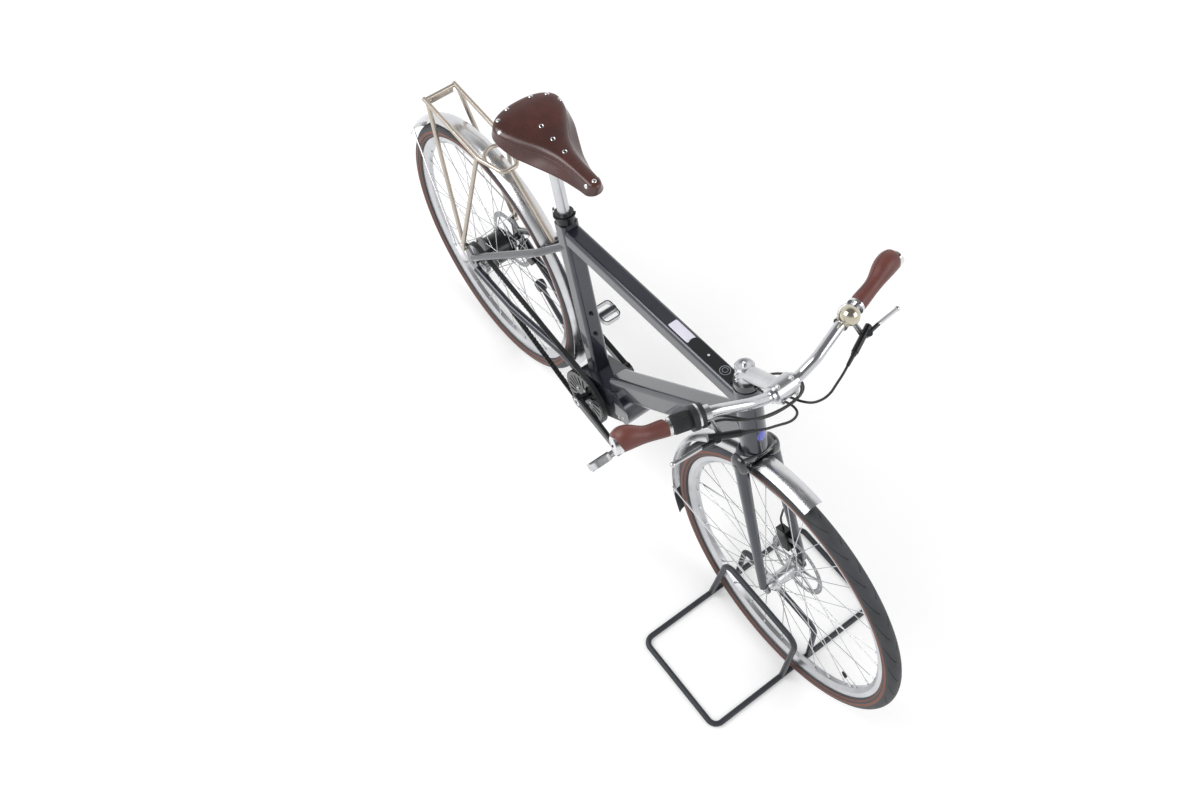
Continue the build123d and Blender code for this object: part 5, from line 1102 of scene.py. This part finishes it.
# ---------------------------------------------------------------- bars and levers
@dataclass
class Cockpit(Assembly):
    """Bar, stem, grips, shifter, bell and brake levers."""

    bar_end: tuple[float, float, float] = (0.34099, 0.34, 1.027)
    inward: tuple[float, float, float] = (0.2448, -0.9689, -0.0357)
    ahead: tuple[float, float, float] = (0.9326, 0.0, -0.3610)
    up: tuple[float, float, float] = (0.3610, 0.0, 0.9326)
    ring_w: float = 0.006
    grip_r: float = 0.0158
    grip_long: tuple[Point, ...] = ((1, 0.130), (-1, 0.096))       # side and length of each grip
    gap: float = 0.0003      # between a ring and its grip
    sleeve_gap: float = 0.0009     # all gaps outboard of the shifter's sleeve
    ribs: int = 26
    rib_r: float = 0.0178
    rib_deep: float = 0.0009
    clamp: tuple[float, float, float] = (0.40999, 0.0, 0.975)
    steer: tuple[float, float, float] = (-0.317305, 0.0, 0.948324)
    stem_top: tuple[float, float, float] = (0.31217, 0.0, 0.926)

    def side_frame(self, side: int) -> tuple[Array, Array]:
        """Give a bar end and the direction inward from it; side is 1 on the left and -1 on the right."""
        flip = np.array((1, side, 1))
        return np.array(self.bar_end) * flip, np.array(self.inward) * flip

    def grip_points(self, side: int, length: float, share: Array, turn: Array,
                    out: float = 0.0) -> Array:
        """Give points of a grip: a radius along the bar with a palm rest that swells to the rear near
        the bar's end, as a hump along the grip times a hump round it.

        Args:
            side: 1 on the left and -1 on the right.
            length: the grip's length.
            share: places along it, from 0 at the bar's end to 1.
            turn: angles round it, from the rear to the top.
            out: height above the hide.
        Returns:
            The points.
        """
        end, inward = self.side_frame(side)
        back, above = -np.array(self.ahead), np.array(self.up)
        reach = share * length
        waist = 0.0012 * np.cos(share * TURN) + 0.0006
        palm = (0.0150 * np.exp(-np.abs((share - 0.26) / 0.27) ** 2.4)
                * (0.5 + 0.5 * np.cos(turn - 0.45)) ** 1.6)
        ends = 1 - 0.10 * np.exp(-share / 0.02) - 0.06 * np.exp(-(1 - share) / 0.02)
        radius = (self.grip_r + waist + palm + out) * ends
        return placed(end, (reach + self.ring_w + self.gap, inward), (radius * np.cos(turn), back),
                      (radius * np.sin(turn), above))

    def grips(self) -> None:
        """Build both grips over their length and round the bar, with a row of stitches along the rear, a
        little above its middle."""
        shells, stitches = [], []
        for side, length in self.grip_long:
            share, turn = lattice(np.linspace(0, 1, 61), 56)
            body = self.grip_points(side, length, share, turn)
            end, inward = self.side_frame(side)
            caps = [np.repeat((end + (part * length + self.ring_w + self.gap) * inward)[None], 56, 0)
                    for part in (0, 1)]
            shells.append(grid(np.concatenate((caps[0][None], body, caps[1][None])), close_columns=True))
            for place in np.arange(0.09, 0.96, 0.0052 / length):
                along = np.linspace(-0.0016, 0.0016, 5) / length + place
                path = self.grip_points(side, length, along, 0.55 + np.linspace(-0.06, 0.06, 5), 0.0003)
                stitches.append(tube(path, 0.0007 * np.sin(np.linspace(0.35, math.pi - 0.35, 5)), 6,
                                     reference=np.array(self.up)))
        show("grip_hides", joined(shells), "front_fork", GRIP_HIDE, ["grips"], 70)
        show("grip_stitches", joined(stitches), "front_fork", THREAD)

    def end_caps(self) -> None:
        """Build a chromed plug at each bar end with a socket in it, and clamp screws on the rings."""
        plug = ((-0.0006, 0), (-0.0006, 0.0150), (0.0002, 0.0163), (0.003, 0.0163), (0.003, 0))
        collar = ((0.0061, 0.0150), (0.0061, 0.0176), (0.0135, 0.0178), (0.0140, 0.0174), (0.0140, 0.0150),
                  (0.0061, 0.0150))
        plugs, spots = [], []
        for side, length in self.grip_long:
            end, inward = self.side_frame(side)
            plugs += [lathe(plug, end, inward, 40), lathe(collar, end, inward, 40)]
            spots.append((end - 0.001 * inward, -inward))
            for reach in (0.5 * self.ring_w, 1.5 * self.ring_w + length):
                spots.append((end + reach * inward + 0.0170 * np.array(self.up), self.up))
        show("bar_end_plugs", joined(plugs), "front_fork", CHROME)
        show("ring_screws", socket_screws(spots, 0.0024, 0.0012), "front_fork", BLACK_ALLOY)

    def shifter(self) -> None:
        """Build the shifter's ribbed sleeve, whose radius swells with the cosine of the turn times the
        count of ribs, and the chromed band inboard of it."""
        end, inward = self.side_frame(-1)
        start = 2 * self.ring_w + dict(self.grip_long)[-1] + self.sleeve_gap
        turn = np.linspace(0, TURN, self.ribs * 8, endpoint=False)
        rows = np.array(((0.001, 0.0), (0.001, 1.0), (0.004, 1.0), (0.006, 2.0), (0.034, 2.0), (0.036, 1.0),
                         (0.0385, 1.0), (0.0385, 0.0)))
        side, other = square_to(inward)
        rings = []
        for reach, ribbed in rows:
            radius = np.full(turn.size, 0.0172 if ribbed < 2 else 0.0) if ribbed else np.zeros(turn.size)
            if ribbed == 2:
                radius = self.rib_r + self.rib_deep * np.tanh(2.5 * np.cos(self.ribs * turn))
            rings.append(placed(end + (start + reach) * inward, (radius * np.cos(turn), side),
                                (radius * np.sin(turn), other)))
        sleeve = grid(np.array(rings), close_columns=True)
        show("shifter_sleeve", sleeve, "front_fork", BLACK_PLASTIC, crease=50)
        band = start + 0.040 + 0.010
        show("shifter_band", lathe(((0, 0.0239), (0, 0.0243), (0.004, 0.0243), (0.004, 0.0239)),
                                   end + band * inward, inward, 60), "front_fork", CHROME)

    def stem_details(self) -> None:
        """Build the stem's cap, its screws and the four screws of its bar clamp."""
        top, axis = np.array(self.stem_top), np.array(self.steer)
        cap = ((-0.001, 0), (-0.001, 0.0185), (0.002, 0.0185), (0.0042, 0.0165), (0.0046, 0.010),
               (0.0036, 0.008), (0.0036, 0))
        show("stem_cap", lathe(cap, top, axis, 48), "front_fork", POLISHED)
        forward = unit(np.array(self.clamp) - top + 0.02 * axis)
        above = unit(np.cross(ACROSS, forward))
        above = above if above[2] > 0 else -above
        spots = [(top + 0.0034 * axis, axis)]
        for y in (-0.0165, 0.0165):
            for lift in (-0.0175, 0.0175):
                spots.append((np.array(self.clamp) + forward * 0.0135 + above * lift + (0, y, 0), forward))
        for drop in (0.010, 0.024):
            spots.append((top - drop * axis + (0, -0.0195, 0), -ACROSS))
        show("stem_screws", socket_screws(spots, 0.0042, 0.0045), "front_fork", CHROME)

    def bell_details(self) -> None:
        """Build the seam where the bell's dome meets its base, as a thin ring."""
        low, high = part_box("bell")
        centre = np.array(((low[0] + high[0]) / 2, (low[1] + high[1]) / 2, high[2] - 0.020))
        axis = unit((0.27, 0, 0.963))
        seam = ((-0.002, 0.0201), (-0.002, 0.0206), (0.002, 0.0206), (0.002, 0.0201))
        show("bell_seam", lathe(seam, centre, axis, 60), "front_fork", CHROME)

    def levers(self) -> None:
        """Dress the levers: silver blades, polished clamps and black bodies and boots."""
        ahead = np.array(self.ahead)
        for side, start, node in ((1, 0.159, "brake_lever_left"), (-1, 0.1735, "brake_lever_right")):
            end, inward = self.side_frame(side)
            at = end + inward * (start + 0.006)

            def choose(middles: Array, _: Array, at: Array = at,
                       inward: Array = inward) -> Array:
                """Silver outboard of the pivot, black boots at the inner end, black round the pivot.

                Args:
                    middles: the faces' middles.
                    _: their normals, which don't count here.
                    at: the lever's clamp on the bar.
                    inward: direction inward along the bar.
                Returns:
                    Number of each face's finish.
                """
                reach = (middles - at) @ inward
                forward = (middles - at) @ ahead
                blade = (reach < -0.030) | ((reach < -0.018) & (forward > 0.053))
                boot = reach > 0.044
                body = (forward > 0.030) & ~blade & ~boot
                return np.select([blade, boot, body], [0, 1, 2], 0)

            self.dress_parts(node, (POLISHED, HOSE_RUBBER, BLACK_ALLOY), choose)

    def build(self) -> None:
        """Build and dress the cockpit."""
        self.dress(POLISHED, "handlebar")
        self.dress(SILVER_ALLOY, "stem")
        self.dress(CHROME, "grip_rings")
        self.dress(BLACK_PLASTIC, "twist_shifter")
        self.dress(BELL_PLATE, "bell")
        self.dress(FORK_BLACK, "headset")
        self.grips()
        self.end_caps()
        self.shifter()
        self.stem_details()
        self.bell_details()
        self.levers()


# ---------------------------------------------------------------- frame and fork
@dataclass
class FrameSet(Assembly):
    """Painted frame and fork with badge, film label, control panel trim and screws."""

    head_foot: tuple[float, float, float] = (0.38309, 0.0, 0.714)
    head_top: tuple[float, float, float] = (0.32889, 0.0, 0.876)
    head_r: float = 0.028
    top_rear: tuple[float, float, float] = (-0.24738, 0.0, 0.748)
    top_front: tuple[float, float, float] = (0.34227, 0.0, 0.836)
    label_long: float = 0.031      # half of the blank label's length
    label_half: float = 0.0115     # half of its width
    label_back: float = 0.205      # from the top tube's front end to the label's middle
    top_half: float = 0.020        # half of the top tube's height
    control_back: float = 0.105    # from the top tube's front end to the control's middle
    button_ahead: float = 0.034    # from there to the button
    badge_half: tuple[float, float] = (0.0135, 0.0105)     # along the head tube and round it
    badge_at: float = 0.27         # share of the way up the head tube
    bosses: tuple[tuple[float, float], ...] = ((-0.13972, 0.46971), (-0.15896, 0.53075))
    boss_out: tuple[float, float, float] = (0.95372, 0, 0.30071)
    seat_axis: tuple[float, float, float] = (-0.3007, 0.0, 0.9537)
    shoulder: tuple[float, float, float] = (0.0225, 0.0165, 0.0240)    # forward, across and up
    steerer: tuple[float, float, float] = (0.0135, -0.010, 0.220)      # radius, lower and upper end

    @property
    def steering(self) -> tuple[Array, Array, Array]:
        """Axes of the steering.

        Returns:
            The head tube's foot, the direction up it and the direction forward from it.
        """
        foot = np.array(self.head_foot)
        axis = unit(np.array(self.head_top) - foot)
        return foot, axis, unit(np.cross(ACROSS, axis))

    def badge(self) -> None:
        """Build a plain domed oval badge that follows the head tube's round front: each point of an
        ellipse is wrapped on the tube, and stands out by one minus its squared distance."""
        foot, axis, forward = self.steering
        ring, turn = lattice(np.linspace(0, 1, 12), 40)
        tall, wide = self.badge_half
        along, wrap = tall * ring * np.cos(turn), wide * ring * np.sin(turn) / self.head_r
        out = self.head_r + 0.0002 + 0.0012 * np.sqrt(np.clip(1 - ring ** 3, 0, 1))
        centre = foot + self.badge_at * (np.array(self.head_top) - foot)
        points = placed(centre, (along, axis), (out * np.cos(wrap), forward), (out * np.sin(wrap), ACROSS))
        show("head_badge", grid(points, close_columns=True), "frame", BADGE_ENAMEL)

    def top_plane(self, back: float, lift: float) -> tuple[Array, Array, Array]:
        """Give a place on the top tube's upper face.

        Args:
            back: distance behind the tube's front end.
            lift: height above the face.
        Returns:
            The place, and the directions along the tube and up from the face.
        """
        rear, front = np.array(self.top_rear), np.array(self.top_front)
        along = unit(front - rear)
        above = np.array((-along[2], 0, along[0]))
        return front - back * along + (self.top_half + lift) * above, along, above

    def label(self) -> None:
        """Build a blank film label on the top tube: a rounded rectangle of rings, where a ring's
        outline is a superellipse of power 16, 0.25 mm thick."""
        centre, along, above = self.top_plane(self.label_back, 0.0)
        turn = np.linspace(0, TURN, 160, endpoint=False)
        shape = (np.abs(np.cos(turn)) ** 16 + np.abs(np.sin(turn)) ** 16) ** (-1 / 16)
        rings = [(0.0, 0.0), (1.0, 0.0), (1.0, 0.00025), (0.985, 0.0003), (0.0, 0.0003)]
        points = np.array([
            placed(centre + lift * above, (scale * shape * np.cos(turn), self.label_long * along),
                   (scale * shape * np.sin(turn), self.label_half * ACROSS))
            for scale, lift in rings])
        show("blank_label", grid(points, close_columns=True), "frame", LABEL_FILM)

    def control(self) -> None:
        """Build the rim of the control's button, the printed ring round it and the small lamp's lens."""
        centre, along, above = self.top_plane(self.control_back - self.button_ahead, 0.0033)
        ring = ((0, 0.0100), (0.0002, 0.0100), (0.0003, 0.0104), (0.0003, 0.0116), (0.0002, 0.0120),
                (0, 0.0120), (0, 0.0100))
        lens = ((0, 0), (0, 0.0026), (0.0004, 0.0025), (0.0008, 0.0016), (0.0009, 0))
        rim = ((0, 0.0066), (0.0012, 0.0066), (0.0014, 0.0060), (0.0012, 0.0052))
        show("control_ring", lathe(ring, centre, above, 64), "frame", PALE_RING)
        show("control_lens", lathe(lens, centre - 0.050 * along, above, 24), "frame", LABEL_FILM)
        show("control_button_rim", lathe(rim, centre, above, 48), "frame", PALE_RING)

    def screws(self) -> None:
        """Build the screws of the bottle bosses, and the seat clamp's lug and screw."""
        out = np.array(self.boss_out)
        spots = [(np.array((x, 0, z)) + 0.0029 * out, out) for x, z in self.bosses]
        show("boss_screws", socket_screws(spots, 0.0045, 0.0028), "frame", BLACK_ALLOY)
        low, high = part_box("seat_clamp")
        rear = np.array((low[0] + 0.002, 0.0, (low[2] + high[2]) / 2))
        lug = lathe(peg(0.0055, -0.011, 0.011), rear, ACROSS, 24)
        show("clamp_lug", lug, "frame", BLACK_ALLOY)
        show("clamp_screw", socket_screws([(rear + (0, -0.011, 0), -ACROSS)], 0.0042, 0.004), "frame", CHROME)

    def crown(self) -> None:
        """Build the fork's lacquered crown with its steerer: superellipses about the steering axis,
        whose half width grows from the head tube's to the blades' as a quarter circle, while the half
        depth shrinks as a cosine, and rounded shoulders, superellipsoids, over the blades' tops."""
        foot, axis, forward = self.steering
        rows, turn = lattice(np.linspace(0, 1, 25), 96)
        wide = 0.0296 + 0.0214 * np.sqrt(1 - (1 - rows) ** 2)
        deep = 0.0250 + 0.0040 * np.cos(rows * math.pi)
        degree = 2.0 + 0.8 * rows
        drop = -0.0012 - 0.0211 * rows
        body = placed(foot, (drop, axis), (deep * bulge(np.cos(turn), degree), forward),
                      (wide * bulge(np.sin(turn), degree), ACROSS))
        top, base = [np.repeat((foot - height * axis)[None, None], turn.shape[1], 1)
                     for height in (0.0012, 0.0233)]
        surfaces = [grid(np.concatenate((top, body, base)), close_columns=True),
                    lathe(peg(*self.steerer), foot, axis, 48)]
        up, turn = lattice(np.linspace(-TURN / 4, TURN / 4, 25), 48)
        ahead, across, above = self.shoulder
        for side in (1, -1):
            centre = foot + (0, side * 0.0385, 0) - 0.028 * axis
            points = placed(centre, (ahead * bulge(np.cos(up), 2.6) * bulge(np.cos(turn), 2.6), forward),
                            (across * bulge(np.cos(up), 2.6) * bulge(np.sin(turn), 2.6), ACROSS),
                            (above * bulge(np.sin(up), 2.6), axis))
            surfaces.append(grid(points, close_columns=True))
        show("fork_crown_casting", joined(surfaces), "front_fork", FORK_BLACK, ["fork_crown"])

    def clamp_lever(self) -> None:
        """Build the seat clamp's curved lever: a wire round the collar's front, as half a circle about
        the seatpost, then straight on to the rear left."""
        low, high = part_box("seat_clamp")
        axis = np.array(self.seat_axis)
        centre = (np.array(low) + np.array(high)) / 2 + 0.007 * axis
        side = unit(np.cross(np.array((-0.796, 0.605, 0.0)), axis))
        away = np.cross(axis, side)
        turn = np.linspace(0.25, -math.pi, 40)
        bend = placed(centre, (0.0232 * np.cos(turn), side), (0.0232 * np.sin(turn), away))
        tail = bend[-1] + np.outer(np.linspace(0.002, 0.026, 12), unit(away - 0.12 * side))
        thick = 0.0023 * np.sqrt(np.clip(np.minimum(np.arange(52), 51 - np.arange(52)) / 2 + 0.2, 0, 1))
        wire = tube(np.concatenate((bend, tail)), thick, 12, reference=axis)
        show("clamp_lever", wire, "frame", BLACK_ALLOY)

    def build(self) -> None:
        """Build and dress the frame and the fork."""
        self.dress(FRAME_PAINT, "seat_tube", "top_tube", "down_tube", "head_tube", "chainstays", "seatstays",
                   "fork_blades")
        # the motor's cover takes the slate paint darkened as painted shade
        self.dress(SHADED_FRAME_PAINT, "motor_shell")
        self.dress(GLOSS_PANEL, "top_tube_control")
        self.dress(BLACK_ALLOY, "front_caliper", "rear_caliper", "kickstand_bracket")
        self.dress(STAND_COAT, "kickstand", "stand_base", "stand_hoops")
        self.badge()
        self.label()
        self.control()
        self.screws()
        self.crown()
        self.clamp_lever()


# ---------------------------------------------------------------- motor, belt and cranks
@dataclass
class Drive(Assembly):
    """Mid motor, toothed belt, slotted pulleys, cranks and pedals."""

    crank: tuple[float, float, float] = (-0.1014, 0.0, 0.285)
    nose: tuple[float, float, float] = (-0.004, 0.0, 0.352)
    crank_face: float = 0.082      # from the middle to a crank's outside
    motor_face: float = 0.0392     # from the middle to the motor covers' outsides
    pulley_face: float = -0.058
    pulley_screw_r: float = 0.026

    def caps(self) -> None:
        """Build the crank screws' caps and the motor covers' screws."""
        axle = np.array(self.crank)
        cap = ((0, 0), (0, 0.0115), (0.0008, 0.0115), (0.0014, 0.0100), (0.0014, 0.0050, 6),
               (-0.003, 0.0050, 6), (-0.003, 0))
        caps = [lathe(cap, axle + (0, side * self.crank_face, 0), side * ACROSS, 36) for side in (1, -1)]
        show("crank_caps", joined(caps), "cranks", CHROME)
        spots = []
        nose = np.array(self.nose)
        for side in (1, -1):
            for centre, radius, angles in ((axle, 0.047, (150, 215, 270, 325)), (nose, 0.031, (-60, -15))):
                for angle in angles:
                    turn = math.radians(angle)
                    offset = radius * np.array((math.cos(turn), 0, math.sin(turn)))
                    spots.append((centre + offset + (0, side * self.motor_face, 0), side * ACROSS))
        show("motor_screws", socket_screws(spots, 0.0036, 0.0022), "frame", CHROME)

    def pedal_faces(self, _: Array, normals: Array) -> Array:
        """Tell the plates to stand on, whose normals gather about one direction square to the pedal's
        axle, from the bare metal round the edges.

        Args:
            _: the faces' middles, which don't count here.
            normals: the faces' normals.
        Returns:
            Whether each face is at an edge.
        """
        turns = np.radians(np.arange(0, 180, 5))
        facing = np.abs(normals[:, :1] * np.cos(turns) + normals[:, 2:] * np.sin(turns)) > 0.97
        main = turns[facing.sum(0).argmax()]
        return np.abs(normals[:, 0] * math.cos(main) + normals[:, 2] * math.sin(main)) < 0.8

    def pulley_screws(self) -> None:
        """Build the five screws that hold the front pulley to its carrier."""
        axle = np.array(self.crank)
        radius = self.pulley_screw_r
        spots = [(axle + (radius * math.cos(angle), self.pulley_face, radius * math.sin(angle)), -ACROSS)
                 for angle in np.arange(5) * TURN / 5 + 0.3]
        show("pulley_screws", socket_screws(spots, 0.0045, 0.0025), "cranks", CHROME)

    def build(self) -> None:
        """Build and dress the drive."""
        self.dress(MOTOR_BLACK, "drive_unit")
        self.dress(BELT_RUBBER, "belt")
        self.dress(BLACK_ALLOY, "front_pulley", "crank_right", "crank_left")
        self.dress(ROTOR_STEEL, "rear_pulley")
        for node in ("pedal_right", "pedal_left"):
            self.dress_parts(node, (PEDAL_ALLOY, SILVER_ALLOY), self.pedal_faces)
        self.caps()
        self.pulley_screws()


# ---------------------------------------------------------------- mudguards and rack
@dataclass
class Guards(Assembly):
    """Satin mudguards with rolled edges, their stays and the rack."""

    radius: float = 0.372
    half_w: float = 0.023
    drop: float = 0.009
    bead_r: float = 0.0013

    def beads(self) -> None:
        """Build the mudguards' rolled edges as wires along arcs at both edges."""
        for end, start, stop, body in (("front", 88.5, 200.0, "front_fork"), ("rear", -12.0, 158.0, "frame")):
            hub = centre_of(end + "_tyre")
            radius, edge = self.radius - self.drop - 0.0008, self.half_w - 0.0006
            wires = [tube(arc(hub, radius, start, stop, side * edge, 120), self.bead_r, 10)
                     for side in (1, -1)]
            show(end + "_guard_beads", joined(wires), body, GUARD_ALLOY)

    def build(self) -> None:
        """Build and dress the mudguards and the rack."""
        self.dress(GUARD_ALLOY, "front_mudguard", "rear_mudguard")
        self.dress(CHROME, "front_mudguard_stays", "rear_mudguard_stays")
        self.dress(FLAP_RUBBER, "mudguard_flap")
        self.dress(RACK_PAINT, "rack_top", "rack_legs")
        self.beads()


def main() -> None:
    """Load the frame, then build the studio, the cords and every sub-assembly in order."""
    logging.basicConfig(level=logging.INFO, format="%(name)s %(message)s")
    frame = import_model()
    Studio().build()
    Cables(frame).build()
    Wheel(frame, "front", (0.024, 0.029), 0.041, SILVER_ALLOY).build()
    Wheel(frame, "rear", (0.047, 0.027), 0.047, BLACK_ALLOY).build()
    Saddle(frame).build()
    Cockpit(frame).build()
    FrameSet(frame).build()
    Drive(frame).build()
    Guards(frame).build()
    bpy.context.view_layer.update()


if __name__ == "__main__":
    main()
